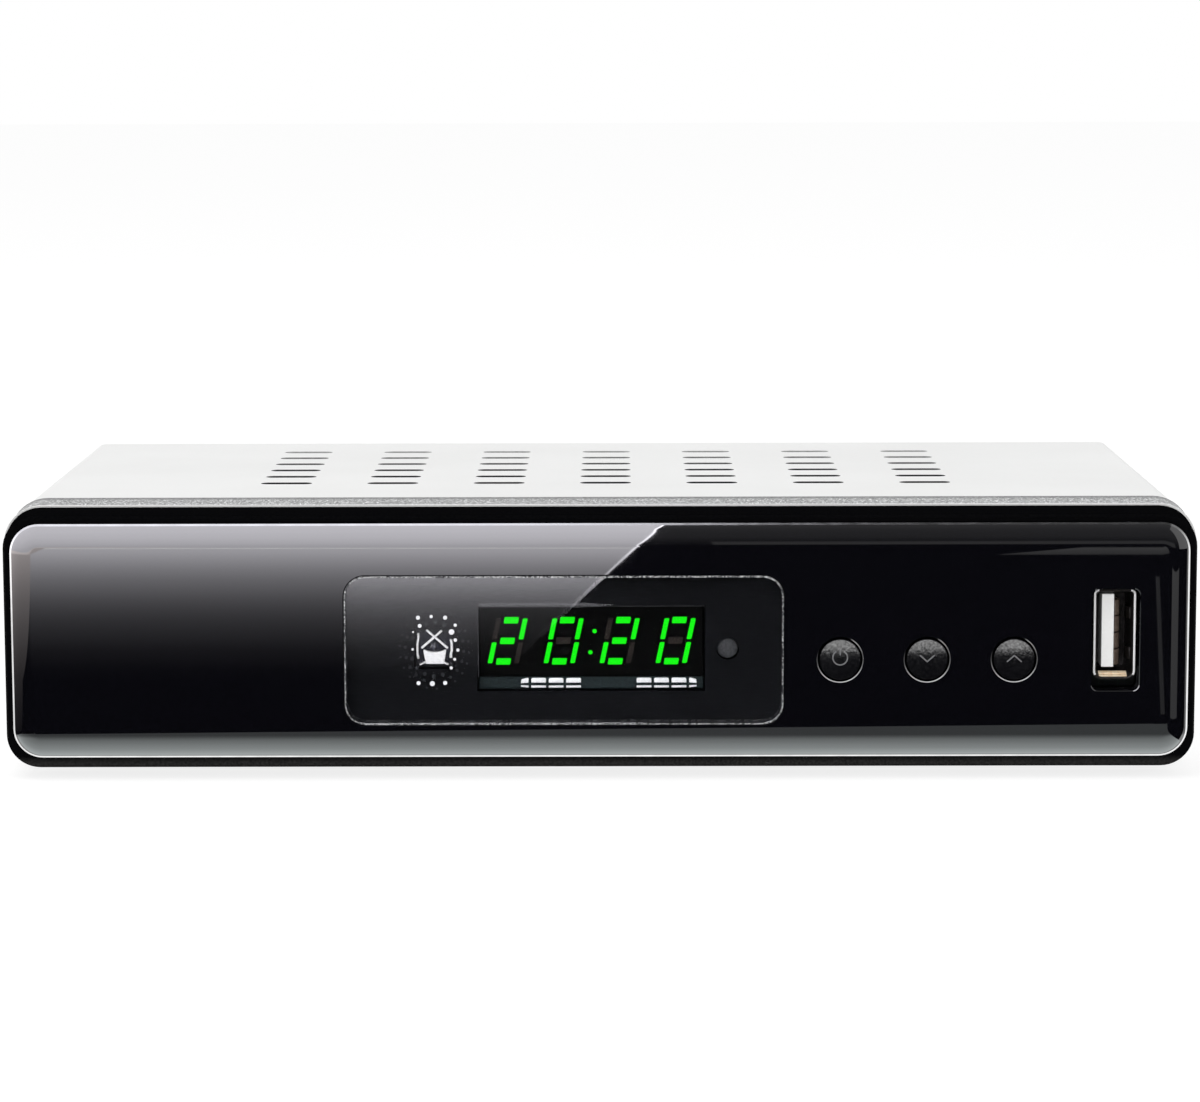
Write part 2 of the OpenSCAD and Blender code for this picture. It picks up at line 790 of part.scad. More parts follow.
module clock_module() {
  color([0.03, 0.03, 0.03])
    block(clock_x, clock_w, clock_y, front_board_y, clock_z - clock_h / 2, clock_z + clock_h / 2);
}

// One stroke of the digit at x, from x0 to x1 and z0 to z1, leaning with the digit
module stroke(x, x0, x1, z0, z1) {
  lean = tan(digit_slant);
  upright(clock_y - stroke_t, clock_y) translate([x, clock_z + digit_raise]) polygon([
    [x0 + z0 * lean, z0],
    [x1 + z0 * lean, z0],
    [x1 + z1 * lean, z1],
    [x0 + z1 * lean, z1]]);
}

module strokes(x, which) {
  half_w = digit_w / 2;
  half_h = digit_h / 2;
  inner = half_w - upright_stroke;
  level = inner - stroke_gap;
  end = half_h - stroke_gap;
  for (i = which) {
    if (i == 0) stroke(x, -level, level, half_h - level_stroke, half_h);
    if (i == 1) stroke(x, inner, half_w, stroke_gap, end);
    if (i == 2) stroke(x, inner, half_w, -end, -stroke_gap);
    if (i == 3) stroke(x, -level, level, -half_h, level_stroke - half_h);
    if (i == 4) stroke(x, -half_w, -inner, -end, -stroke_gap);
    if (i == 5) stroke(x, -half_w, -inner, stroke_gap, end);
    if (i == 6) stroke(x, -level, level, -level_stroke / 2, level_stroke / 2);
  }
}

module clock_lit() {
  colon_x = (digit_x[1] + digit_x[2]) / 2;
  color("lime") {
    for (i = [0:3]) strokes(digit_x[i], i % 2 == 0 ? two_lit : nought_lit);
    for (z = [-colon_rise, colon_rise])
      bar_y(colon_x + z * tan(digit_slant), clock_z + digit_raise + z, upright_stroke,
        clock_y - stroke_t, clock_y);
  }
}

module clock_unlit() {
  color("dimgray") for (i = [0:3]) strokes(digit_x[i], i % 2 == 0 ? two_unlit : nought_unlit);
}

// Grooved solder tabs under the clock module, in two groups
module clock_leads() {
  top = clock_z - clock_h / 2;
  front = clock_y + lead_step;
  groove = lead_h / 3;
  for (group = lead_groups, i = [0:3]) color("white") difference() {
    x = clock_x + group * clock_w + (i - 1.5) * lead_pitch;
    block(x, lead_w, front, front_board_y, top - lead_h, top);
    block(x, lead_w + over, front - over, front + lead_step, top - 2 * groove, top - groove);
  }
}

module remote_eye() {
  body = eye_size - 2 * eye_shield_t - 2 * slide;
  lens_d = body * 0.75;
  color([0.05, 0.04, 0.06]) union() {
    block(eye_x, body, eye_face_y + lens_d / 4, front_board_y, window_z - body / 2, window_z + body / 2);
    translate([eye_x, eye_face_y + lens_d / 2, window_z]) sphere(d = lens_d);
  }
}

module remote_eye_shield() {
  half = eye_size / 2;
  inner = half - eye_shield_t;
  view = half - eye_rim;
  color("gainsboro") difference() {
    block(eye_x, eye_size, eye_shield_y, front_board_y, window_z - half, window_z + half);
    block(eye_x, 2 * inner, eye_shield_y + eye_shield_t, front_board_y + over,
      window_z - inner, window_z + inner);
    difference() {
      block(eye_x, 2 * view, eye_shield_y - over, eye_shield_y + over, window_z - view, window_z + view);
      for (turn = [45, -45]) translate([eye_x, eye_shield_y, window_z]) rotate([0, turn, 0])
        cube([2 * eye_size, 4 * over, eye_bar], center = true);
    }
  }
}

module standby_lamp() {
  centre_y = lamp_tip_y + lamp_d / 2;
  color([0.35, 0.35, 0.37]) union() {
    translate([lamp_x, centre_y, window_z]) sphere(d = lamp_d);
    bar_y(lamp_x, window_z, lamp_d, centre_y, front_board_y);
    bar_y(lamp_x, window_z, lamp_d + 2 * lamp_collar, front_board_y - lamp_collar_h, front_board_y);
  }
}

// Data socket

module data_socket_shell() {
  half = socket_h / 2;
  color("lightgray") difference() {
    union() {
      block(socket_x, socket_w, socket_front, front_board_y, socket_z - half, socket_z + half);
      block(socket_x, socket_w + 2 * socket_flare, socket_front, socket_front + socket_lip,
        socket_z - half - socket_flare, socket_z + half + socket_flare);
    }
    block(socket_x, socket_w - 2 * socket_t, socket_front - over, front_board_y - socket_back_t,
      socket_z - half + socket_t, socket_z + half - socket_t);
  }
}

module data_socket_tongue() {
  color("white") block(tongue_x, tongue_t, tongue_y, front_board_y - socket_back_t,
    socket_z - tongue_h / 2, socket_z + tongue_h / 2);
}

module data_socket_contacts() {
  for (i = [0:3]) color("gold")
    translate([tongue_x + tongue_t / 2, front_board_y - socket_back_t - contact[1],
      socket_z + (i - 1.5) * contact_pitch - contact[2] / 2]) cube(contact);
}

// Main board and the parts on it

module main_board() {
  color("seagreen") difference() {
    block(0, main_w, main_front, main_back, board_bottom, board_top);
    for (at = main_screw_at) translate([at[0], at[1], board_bottom - over])
      cylinder(d = cover_screw[0] + 2 * slide, h = board_t + 2 * over);
  }
}

module board_standoffs() {
  for (at = main_screw_at) color("goldenrod") translate([at[0], at[1], pan_top]) difference() {
    cylinder(d = standoff_d, h = standoff_h);
    translate([0, 0, -over]) cylinder(d = cover_screw[0], h = standoff_h + 2 * over);
  }
}

module board_screws() {
  for (at = main_screw_at) color("silver") translate([at[0], at[1], board_top]) screw(board_screw);
}

module decoder_chip() {
  color([0.1, 0.1, 0.1])
    block(chip_x, chip_size, chip_y - chip_size / 2, chip_y + chip_size / 2, board_top, board_top + chip_t);
}

module heat_sink() {
  low = board_top + chip_t;
  front = chip_y - sink_size / 2;
  pitch = (sink_size - sink_fin_t) / (sink_fins - 1);
  color("silver") union() {
    block(chip_x, sink_size, front, front + sink_size, low, low + sink_base);
    for (i = [0:sink_fins - 1])
      block(chip_x + (i - (sink_fins - 1) / 2) * pitch, sink_fin_t, front, front + sink_size,
        low, low + sink_base + sink_fin_h);
  }
}

module memory_chips() {
  for (s = [-1, 1]) color([0.12, 0.12, 0.12])
    translate([memory_x - memory_size[0] / 2, chip_y + s * memory_step - memory_size[1] / 2, board_top])
      cube(memory_size);
}

module capacitors() {
  for (can = cans) color("midnightblue")
    translate([supply_x + can[0], main_front + can[1], board_top]) cylinder(d = can[2], h = can[3]);
}

module coils() {
  for (at = coil_at) color([0.2, 0.2, 0.22])
    translate([supply_x + at[0] - coil_size[0] / 2, main_front + at[1] - coil_size[1] / 2, board_top])
      cube(coil_size);
}

// Tuner with its two aerial connectors

module tuner_can() {
  front = tuner_back - tuner_len;
  color("lightsteelblue") difference() {
    block(tuner_x, tuner_w, front, tuner_back, board_top, board_top + tuner_h);
    block(tuner_x, tuner_w - 2 * can_t, front + can_t, tuner_back - can_t, board_top - over,
      board_top + tuner_h - can_t);
  }
}

module aerial_input() {
  color("silver") difference() {
    bar_y(aerial_x[0], aerial_z, aerial_socket_d, tuner_back, rear_reach);
    bar_y(aerial_x[0], aerial_z, aerial_d + fit, tuner_back + aerial_floor, rear_reach + over);
  }
}

module aerial_input_contact() {
  color("goldenrod") difference() {
    bar_y(aerial_x[0], aerial_z, aerial_contact_d, tuner_back + aerial_floor,
      rear_reach - contact_setback);
    bar_y(aerial_x[0], aerial_z, aerial_pin_d + fit, tuner_back + aerial_floor + contact_floor,
      rear_reach);
  }
}

module aerial_output() {
  color("silver") difference() {
    union() {
      bar_y(aerial_x[1], aerial_z, aerial_socket_d, tuner_back, collar_y);
      bar_y(aerial_x[1], aerial_z, aerial_d, tuner_back, rear_reach);
    }
    bar_y(aerial_x[1], aerial_z, aerial_d - 2 * aerial_wall, tuner_back + aerial_floor, rear_reach + over);
  }
}

module aerial_output_pin() {
  color("goldenrod") bar_y(aerial_x[1], aerial_z, aerial_pin_d, tuner_back + aerial_floor, rear_reach);
}

// Picture, sound and power sockets

module picture_socket_shell() {
  front = picture_y - picture_len;
  color("lightgray") difference() {
    block(picture_x, picture_w, front, picture_y, board_top, board_top + picture_h);
    block(picture_x, picture_w - 2 * picture_t, front + picture_back_t, picture_y + over,
      board_top + picture_t, board_top + picture_h - picture_t);
  }
}

module picture_socket_tongue() {
  color([0.1, 0.1, 0.1])
    block(picture_x, picture_tongue[0], picture_y - picture_len + picture_back_t,
      picture_y - picture_tongue_setback, picture_z - picture_tongue[1] / 2,
      picture_z + picture_tongue[1] / 2);
}

module av_socket() {
  z = board_top + av_h / 2;
  floor_y = av_y - av_len / 2;
  moat = [av_w - 2 * av_wall, av_h / 2 - av_wall];
  core = [moat[0] - 2 * av_groove, moat[1] - av_groove];
  color([0.05, 0.05, 0.05]) difference() {
    block(av_x, av_w, av_y - av_len, av_y, board_top, board_top + av_h);
    difference() {
      block(av_x, moat[0], floor_y, av_y + over, z - moat[1], z + moat[1]);
      block(av_x, core[0], floor_y - over, av_y, z - core[1], z + core[1]);
    }
    for (i = [0:av_slits - 1], s = [-1, 1]) {
      slit_z = z + s * core[1] / 2;
      block(av_x + (i - (av_slits - 1) / 2) * core[0] / av_slits, av_slit[0], floor_y, av_y + over,
        slit_z - av_slit[1] / 2, slit_z + av_slit[1] / 2);
    }
  }
}

module audio_jack_body() {
  color("darkorange") difference() {
    union() {
      block(audio_x, audio_w, wall_in - audio_len, wall_in - fit, board_top, audio_top);
      bar_y(audio_x, audio_z, audio_insert_d - fit, wall_in - over, rear_reach - insert_setback);
    }
    bar_y(audio_x, audio_z, audio_bore[0], wall_in - audio_bore[1], rear_reach + over);
  }
}

module audio_jack_shell() {
  color("gainsboro") difference() {
    union() {
      bar_y(audio_x, audio_z, audio_collar_d, wall_in - fit, collar_y);
      bar_y(audio_x, audio_z, audio_d, wall_in - fit, rear_reach);
    }
    bar_y(audio_x, audio_z, audio_insert_d, wall_in - over, rear_reach + over);
  }
}

module power_jack_body() {
  color([0.04, 0.04, 0.04]) difference() {
    block(power_x, power_w, power_y - power_len, power_y, board_top, board_top + power_h);
    bar_y(power_x, power_z, power_bore[0], power_y - power_bore[1], power_y + over);
  }
}

module power_jack_pin() {
  color("silver") bar_y(power_x, power_z, power_pin_d, power_y - power_bore[1],
    power_y - power_pin_setback);
}

// Ribbon cable between the boards

module ribbon_headers() {
  back = front_board_y + board_t;
  color("ivory") {
    block(header_x, header_size[0], back, back + header_size[1],
      header_z - header_size[2] / 2, header_z + header_size[2] / 2);
    block(header_x, header_size[0], header_y - header_size[1] / 2, header_y + header_size[1] / 2,
      board_top, board_top + header_size[2]);
  }
}

module ribbon_cable() {
  y0 = front_board_y + board_t + header_size[1];
  y1 = header_y - header_size[1] / 2;
  line = [for (i = [0:ribbon_steps])
    [y0 + (y1 - y0) * i / ribbon_steps, header_z + ribbon_hump * (1 - cos(360 * i / ribbon_steps)) / 2]];
  upper = [for (p = line) [p[0], p[1] + ribbon_t / 2]];
  lower = [for (i = [ribbon_steps:-1:0]) [line[i][0], line[i][1] - ribbon_t / 2]];
  color("lightgray") translate([header_x - ribbon_w / 2, 0, 0])
    rotate([90, 0, 90]) linear_extrude(ribbon_w) polygon(concat(upper, lower));
}

// Moves the part so that the origin is under its middle
module seat() {
  translate([0, -mid_y, 0]) children();
}

seat() top_cover();
seat() base_pan();
seat() rubber_feet();
seat() cover_screws();
seat() front_frame();
seat() frame_screws();
seat() bezel();
seat() fascia();
seat() display_window();
seat() window_mask();
seat() button(0);  // power_button
seat() button(1);  // down_button
seat() button(2);  // up_button
seat() plunger(0);  // power_plunger
seat() plunger(1);  // down_plunger
seat() plunger(2);  // up_plunger
seat() key_switches();
seat() front_board();
seat() front_board_screws();
seat() clock_module();
seat() clock_lit();
seat() clock_unlit();
seat() clock_leads();
seat() remote_eye();
seat() remote_eye_shield();
seat() standby_lamp();
seat() data_socket_shell();
seat() data_socket_tongue();
seat() data_socket_contacts();
seat() main_board();
seat() board_standoffs();
seat() board_screws();
seat() tuner_can();
seat() aerial_input();
seat() aerial_input_contact();
seat() aerial_output();
seat() aerial_output_pin();
seat() decoder_chip();
seat() heat_sink();
seat() memory_chips();
seat() capacitors();
seat() coils();
seat() picture_socket_shell();
seat() picture_socket_tongue();
seat() av_socket();
seat() audio_jack_body();
seat() audio_jack_shell();
seat() power_jack_body();
seat() power_jack_pin();
seat() ribbon_cable();
seat() ribbon_headers();
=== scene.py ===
import json
import math

import bmesh
import bpy
from mathutils import Matrix, Vector

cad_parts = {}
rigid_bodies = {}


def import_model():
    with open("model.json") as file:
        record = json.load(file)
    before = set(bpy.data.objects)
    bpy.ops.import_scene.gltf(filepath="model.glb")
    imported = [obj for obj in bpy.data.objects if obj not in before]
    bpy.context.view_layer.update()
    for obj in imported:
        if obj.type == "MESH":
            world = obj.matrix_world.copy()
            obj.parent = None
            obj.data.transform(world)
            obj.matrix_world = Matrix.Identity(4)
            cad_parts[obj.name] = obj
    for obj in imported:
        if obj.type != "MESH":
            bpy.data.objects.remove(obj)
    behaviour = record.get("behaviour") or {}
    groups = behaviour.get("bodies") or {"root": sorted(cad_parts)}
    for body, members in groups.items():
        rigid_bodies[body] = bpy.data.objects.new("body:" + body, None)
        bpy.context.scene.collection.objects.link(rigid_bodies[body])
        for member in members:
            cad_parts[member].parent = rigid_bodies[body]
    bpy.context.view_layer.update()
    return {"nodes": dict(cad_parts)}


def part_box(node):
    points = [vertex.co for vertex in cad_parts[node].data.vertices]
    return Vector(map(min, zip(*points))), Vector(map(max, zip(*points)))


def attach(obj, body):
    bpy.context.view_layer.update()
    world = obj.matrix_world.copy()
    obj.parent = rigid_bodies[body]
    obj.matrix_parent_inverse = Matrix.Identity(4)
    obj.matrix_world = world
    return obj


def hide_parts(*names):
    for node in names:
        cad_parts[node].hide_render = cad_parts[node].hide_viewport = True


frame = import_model()
nodes = frame["nodes"]

# Lengths are in millimetres and are turned to metres with MM
MM = 0.001
# Depth of the front rim
RIM = -53.575
# Points closer than this are one point
WELD = 0.002 * MM
Y, Z = 1, 2
FRONT, BACK = -1, 1
CONTROLS = ("power", "down", "up")
# Lowest and highest corner of each CAD node
corners = {node: [[v / MM for v in corner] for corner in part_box(node)] for node in nodes}


def between(low, high):
    return [(a + b) / 2 for a, b in zip(low, high)]


def centre(node):
    return between(*corners[node])


def bounds_of(node):
    """Lowest and highest corner of a CAD node, and the middle of its front as x and z."""
    x, _, z = centre(node)
    return *corners[node], x, z


def extent(points):
    """Lowest and highest corner of points given in metres."""
    return [[pick(p[i] for p in points) / MM for i in range(3)] for pick in (min, max)]


# Working by hand

def let_go():
    """Back to object mode with nothing selected."""
    if bpy.context.object and bpy.context.object.mode != "OBJECT":
        bpy.ops.object.mode_set(mode="OBJECT")
    bpy.ops.object.select_all(action="DESELECT")


def pick_up(*objs):
    let_go()
    for o in objs:
        o.select_set(True)
    bpy.context.view_layer.objects.active = objs[0]


def fix_place(name):
    """Names the new piece and puts its place, turn and size into its mesh."""
    made = bpy.context.object
    made.name = name
    bpy.ops.object.transform_apply(location=True, rotation=True, scale=True)
    return made


def block(name, low, high, turn=0):
    """A box between two corners, turned about its own middle, in degrees about Y."""
    let_go()
    bpy.ops.mesh.primitive_cube_add(size=MM, location=[v * MM for v in between(low, high)],
                                    rotation=(0, math.radians(turn), 0))
    bpy.context.object.scale = [b - a for a, b in zip(low, high)]
    return fix_place(name)


def slab(name, low, high, corner, steps):
    """A block whose edges from front to back are rounded."""
    made = block(name, low, high)
    round_edges(made, runs_along(Y), corner, steps)
    return made


def rod(name, x, z, d, y0, y1, sides=64):
    """A round bar along Y."""
    let_go()
    bpy.ops.mesh.primitive_cylinder_add(vertices=sides, radius=d / 2 * MM, depth=(y1 - y0) * MM,
                                        location=(x * MM, (y0 + y1) / 2 * MM, z * MM), rotation=(math.pi / 2, 0, 0))
    return fix_place(name)


def mark(obj, kind, test):
    """Selects, in edit mode, the FACE, EDGE or VERT elements that pass the test."""
    pick_up(obj)
    bpy.ops.object.mode_set(mode="EDIT")
    bpy.ops.mesh.select_mode(type=kind)
    bpy.ops.mesh.select_all(action="DESELECT")
    mesh = bmesh.from_edit_mesh(obj.data)
    mesh.normal_update()
    for element in {"FACE": mesh.faces, "EDGE": mesh.edges, "VERT": mesh.verts}[kind]:
        if test(element):
            element.select_set(True)
    mesh.select_flush_mode()
    bmesh.update_edit_mesh(obj.data)


def every(element):
    return True


def mid(element):
    """Middle of a face or edge."""
    points = [v.co for v in element.verts]
    return sum(points, Vector()) / len(points) / MM


def runs_along(axis):
    def test(edge):
        way = edge.verts[1].co - edge.verts[0].co
        return abs(way[axis]) > 0.999 * way.length
    return test


def looks(way):
    """Faces that look straight to the front or the back."""
    return lambda face: face.normal.y * way > 0.999


def rim_at(depth):
    """Edges that lie at one depth and turn a corner there."""
    def test(edge):
        if any(abs(v.co.y / MM - depth) > 0.004 for v in edge.verts) or len(edge.link_faces) < 2:
            return False
        a, b = (f.normal for f in edge.link_faces[:2])
        return a.dot(b) < 0.7
    return test


def round_edges(obj, test, width, steps):
    mark(obj, "EDGE", test)
    bpy.ops.mesh.bevel(offset=width * MM, segments=steps, affect="EDGES", clamp_overlap=True)
    let_go()


def split_edges(obj, test, cuts):
    mark(obj, "EDGE", test)
    bpy.ops.mesh.subdivide(number_cuts=cuts)
    let_go()


def slice_at(obj, place, way):
    """New edges where a plane crosses a piece."""
    mark(obj, "VERT", every)
    bpy.ops.mesh.bisect(plane_co=[v * MM for v in place], plane_no=way)
    let_go()


def inset(width, height=0.0):
    """A ring inside the selected faces; the inner faces rise along their normal."""
    bpy.ops.mesh.inset(thickness=width * MM, depth=height * MM)


def pull(y=0.0, z=0.0):
    """Extrudes what is selected."""
    bpy.ops.mesh.extrude_region_move(TRANSFORM_OT_translate={"value": (0, y * MM, z * MM)})


def stretch(wide, tall, about):
    """Scales what is selected about a point, across the front."""
    bpy.ops.transform.resize(value=(wide, 1, tall), center_override=[v * MM for v in about])


def shift(x, z):
    """Moves what is selected across the front."""
    bpy.ops.transform.translate(value=(x * MM, 0, z * MM))


def bow(obj, depths, lean):
    """Moves the rows of vertices at these depths sideways, each by the lean for its depth."""
    for y in depths:
        mark(obj, "VERT", lambda v: abs(v.co.y / MM - y) < 0.01)
        shift(lean(y), 0)
    let_go()


def modify(obj, kind, **settings):
    """Adds a modifier, which stays live."""
    made = obj.modifiers.new(kind.lower(), kind)
    for key, value in settings.items():
        setattr(made, key, value)
    return made.name


def work(obj, kind, **settings):
    """Adds a modifier and applies it."""
    pick_up(obj)
    bpy.ops.object.modifier_apply(modifier=modify(obj, kind, **settings))


def scrap(obj):
    """Throws away a cutting tool or a pattern."""
    bpy.data.objects.remove(obj, do_unlink=True)


def cut(obj, *tools):
    for tool in tools:
        work(obj, "BOOLEAN", operation="DIFFERENCE", solver="EXACT", object=tool)
        scrap(tool)


def soften(obj, width, steps=2, angle=40):
    """Rounds every edge that turns more than the angle."""
    work(obj, "BEVEL", width=width * MM, segments=steps, limit_method="ANGLE", angle_limit=math.radians(angle))


def copy_to(obj, x, z):
    """A copy with its own mesh, moved across the front."""
    pick_up(obj)
    bpy.ops.object.duplicate(linked=False)
    bpy.context.object.location = (x * MM, 0, z * MM)
    return fix_place(obj.name)


def together(name, *objs):
    pick_up(*objs)
    if len(objs) > 1:
        bpy.ops.object.join()
    bpy.context.object.name = name
    return bpy.context.object


def repeat(name, pattern, steps):
    """Copies of a pattern up the front, joined to one piece."""
    made = together(name, *[copy_to(pattern, 0, step) for step in steps])
    scrap(pattern)
    return made


def coat(obj, name):
    """Adds a finish to a piece; the first covers it all over."""
    let_go()
    obj.data.materials.append(finishes[name])


def lay_finish(obj, name, test):
    """Adds a finish on the faces that pass the test."""
    coat(obj, name)
    mark(obj, "FACE", test)
    obj.active_material_index = len(obj.data.materials) - 1
    bpy.ops.object.material_slot_assign()
    let_go()


def settle(obj, slot, *stands_for, paint=None, body="receiver"):
    """Smooths a finished piece, gives it its finish and seats it on its body."""
    if paint:
        coat(obj, paint)
    pick_up(obj)
    bpy.ops.object.shade_smooth_by_angle(angle=math.radians(35))
    work(obj, "WEIGHTED_NORMAL", keep_sharp=True)
    if stands_for:
        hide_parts(*stands_for)
    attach(obj, body)
    let_go()


def dress(node, name, edge):
    """Welds a CAD node's triangles, rounds its edges a little and gives it its finish."""
    obj = nodes[node]
    obj.data.materials.clear()
    coat(obj, name)
    obj.data.polygons.foreach_set("use_smooth", [True] * len(obj.data.polygons))
    modify(obj, "WELD", merge_threshold=WELD)
    if edge:
        modify(obj, "DECIMATE", decimate_type="DISSOLVE", angle_limit=math.radians(0.4))
        modify(obj, "BEVEL", width=edge * MM, segments=2, limit_method="ANGLE", angle_limit=math.radians(40),
               use_clamp_overlap=True)
        modify(obj, "WEIGHTED_NORMAL", keep_sharp=False)
    else:
        modify(obj, "EDGE_SPLIT", split_angle=math.radians(30))


# Finishes

finishes = {}


def new_finish(name):
    """A new material, kept under its name; gives its nodes."""
    material = finishes[name] = bpy.data.materials.new(name)
    material.use_nodes = True
    return material.node_tree


def connect(tree, node, inputs):
    """Links a node's inputs to sockets, or sets them to constants."""
    for key, value in inputs.items():
        if isinstance(value, bpy.types.NodeSocket):
            tree.links.new(value, node.inputs[key])
        else:
            node.inputs[key].default_value = value


def add(tree, kind, inputs, **settings):
    made = tree.nodes.new(kind)
    for key, value in settings.items():
        setattr(made, key, value)
    connect(tree, made, inputs)
    return made


def feed(tree, **inputs):
    """Connects the inputs of the finish's shader."""
    connect(tree, tree.nodes["Principled BSDF"], {key.replace("_", " "): value for key, value in inputs.items()})


def place(tree, scale=(1, 1, 1), offset=(0, 0, 0)):
    """The piece's own coordinates, in metres, stretched or shifted."""
    coords = add(tree, "ShaderNodeTexCoord", {}).outputs["Object"]
    return add(tree, "ShaderNodeMapping", {"Vector": coords, "Scale": scale, "Location": offset}).outputs["Vector"]


def axes(vector):
    return add(vector.id_data, "ShaderNodeSeparateXYZ", {"Vector": vector}).outputs


def spot_on(tree):
    """Where a point of the piece is."""
    return axes(place(tree))


def facing(tree):
    """Which way the face looks."""
    return axes(add(tree, "ShaderNodeNewGeometry", {}).outputs["True Normal"])


def hues(colour):
    return add(colour.id_data, "ShaderNodeSeparateColor", {"Color": colour}).outputs


def noise(tree, size, detail=2.0, scale=(1, 1, 1)):
    """Cloudy noise whose lumps are about size millimetres across."""
    cloud = {"Vector": place(tree, scale), "Scale": 1 / (size * MM), "Detail": detail, "Roughness": 0.55}
    return add(tree, "ShaderNodeTexNoise", cloud).outputs["Fac"]


def cells(tree, size):
    """Cells of size millimetres, each with three values of its own."""
    grid = add(tree, "ShaderNodeTexVoronoi", {"Vector": place(tree), "Scale": 1 / (size * MM)})
    return hues(grid.outputs["Color"])


def tone(factor, *stops):
    """Colours along a factor, as (place, (r, g, b)) or (place, grey) stops."""
    made = add(factor.id_data, "ShaderNodeValToRGB", {"Fac": factor})
    ramp = made.color_ramp
    while len(ramp.elements) < len(stops):
        ramp.elements.new(0.5)
    for element, (at, colour) in zip(ramp.elements, stops):
        element.position = at
        element.color = (*colour, 1) if isinstance(colour, tuple) else (colour, colour, colour, 1)
    return made.outputs["Color"]


def level(value, low, high, start=0.3, end=0.7):
    """Follows a value between start and end, from low to high."""
    ends = {"Value": value, "From Min": start, "From Max": end, "To Min": low, "To Max": high}
    return add(value.id_data, "ShaderNodeMapRange", ends).outputs["Result"]


def rise(value, start, end):
    """From 0 to 1 between two places."""
    return level(value, 0.0, 1.0, start * MM, end * MM)


def fall(value, start, end):
    """From 1 to 0 between two places."""
    return level(value, 1.0, 0.0, start * MM, end * MM)


def sums(kind, a, b=0.0):
    return add(a.id_data, "ShaderNodeMath", {0: a, 1: b}, operation=kind).outputs["Value"]


def product(value, *others):
    for other in others:
        value = sums("MULTIPLY", value, other)
    return value


def blend(factor, first, second):
    """One colour laid over another by a factor."""
    return add(factor.id_data, "ShaderNodeMix", {0: factor, 6: first, 7: second}, data_type="RGBA").outputs[2]


def relief(height, depth, strength=1.0):
    bump = {"Height": height, "Distance": depth * MM, "Strength": strength}
    return add(height.id_data, "ShaderNodeBump", bump).outputs["Normal"]


def finish(name, dark, light, rough, grain, depth=0.0, metal=0.0, scale=(1, 1, 1), shine=0.5, detail=4.0,
           ends=(0.3, 0.7)):
    """A finish that drifts between two tones and two roughnesses over its grain."""
    tree = new_finish(name)
    pattern = noise(tree, grain, detail, scale)
    feed(tree, Base_Color=tone(pattern, (ends[0], dark), (ends[1], light)),
         Roughness=level(pattern, *rough), Metallic=metal, Specular_IOR_Level=shine)
    if depth:
        feed(tree, Normal=relief(pattern, depth))
    return tree


def cover_paint():
    """Pale paint with a slight orange peel; the walls of the slots carry painted shade, nearly black at the front rows
    and lighter towards the back.
    """
    tree = new_finish("cover_paint")
    drift, peel = noise(tree, 40, 3.0), noise(tree, 0.9)
    painted = tone(drift, (0.35, (0.845, 0.847, 0.84)), (0.65, (0.88, 0.883, 0.877)))
    spot, top = spot_on(tree), corners["top_cover"][1][2]
    in_slot = product(fall(sums("ABSOLUTE", spot["X"]), 70, 72), rise(spot["Y"], -20, -18), fall(spot["Y"], 38, 40),
                      rise(spot["Z"], top - 1.5, top - 1), level(facing(tree)["Z"], 1.0, 0.0, 0.75, 0.97))
    # Painted shade on the walls of the slots: darkest towards the front, lighter towards the back
    depth = sums("ADD", level(spot["Y"], 0.0, 0.9, -16 * MM, 34 * MM), level(peel, 0.0, 0.1))
    wall = tone(depth, (0.0, 0.004), (0.4, 0.03), (0.7, 0.2), (1.0, 0.58))
    feed(tree, Base_Color=blend(in_slot, painted, wall), Roughness=level(peel, 0.36, 0.46), Normal=relief(peel, 0.004))


def pan_zinc():
    """Zinc-plated sheet with its soft spangle."""
    tree = new_finish("pan_zinc")
    spangle = cells(tree, 1.9)["Red"]
    feed(tree, Base_Color=tone(spangle, (0.0, (0.55, 0.56, 0.565)), (1.0, (0.62, 0.63, 0.635))),
         Roughness=level(spangle, 0.36, 0.44, 0, 1), Metallic=1.0, Normal=relief(noise(tree, 0.6), 0.004))


def frame_silver():
    """Silver paint with bright metal flakes, with painted shade darkening it along the seam at its back."""
    tree = new_finish("frame_silver")
    flakes = cells(tree, 0.22)
    painted = tone(flakes["Red"], (0.0, (0.1, 0.101, 0.104)), (0.6, (0.3, 0.303, 0.308)), (1.0, (0.92, 0.93, 0.94)))
    seam_shade_tone = tone(flakes["Blue"], (0.0, (0.05, 0.05, 0.052)), (1.0, (0.26, 0.262, 0.266)))
    # Painted shade along the seam with the cover, at the back of the frame
    back = corners["top_cover"][0][1]
    painted_seam_shade = product(rise(spot_on(tree)["Y"], back - 2.0, back - 0.9), level(facing(tree)["Y"], 1.0, 0.0, 0.3, 0.6))
    feed(tree, Base_Color=blend(painted_seam_shade, painted, seam_shade_tone), Roughness=level(flakes["Green"], 0.28, 0.5, 0, 1),
         Metallic=0.2, Normal=relief(flakes["Blue"], 0.004))


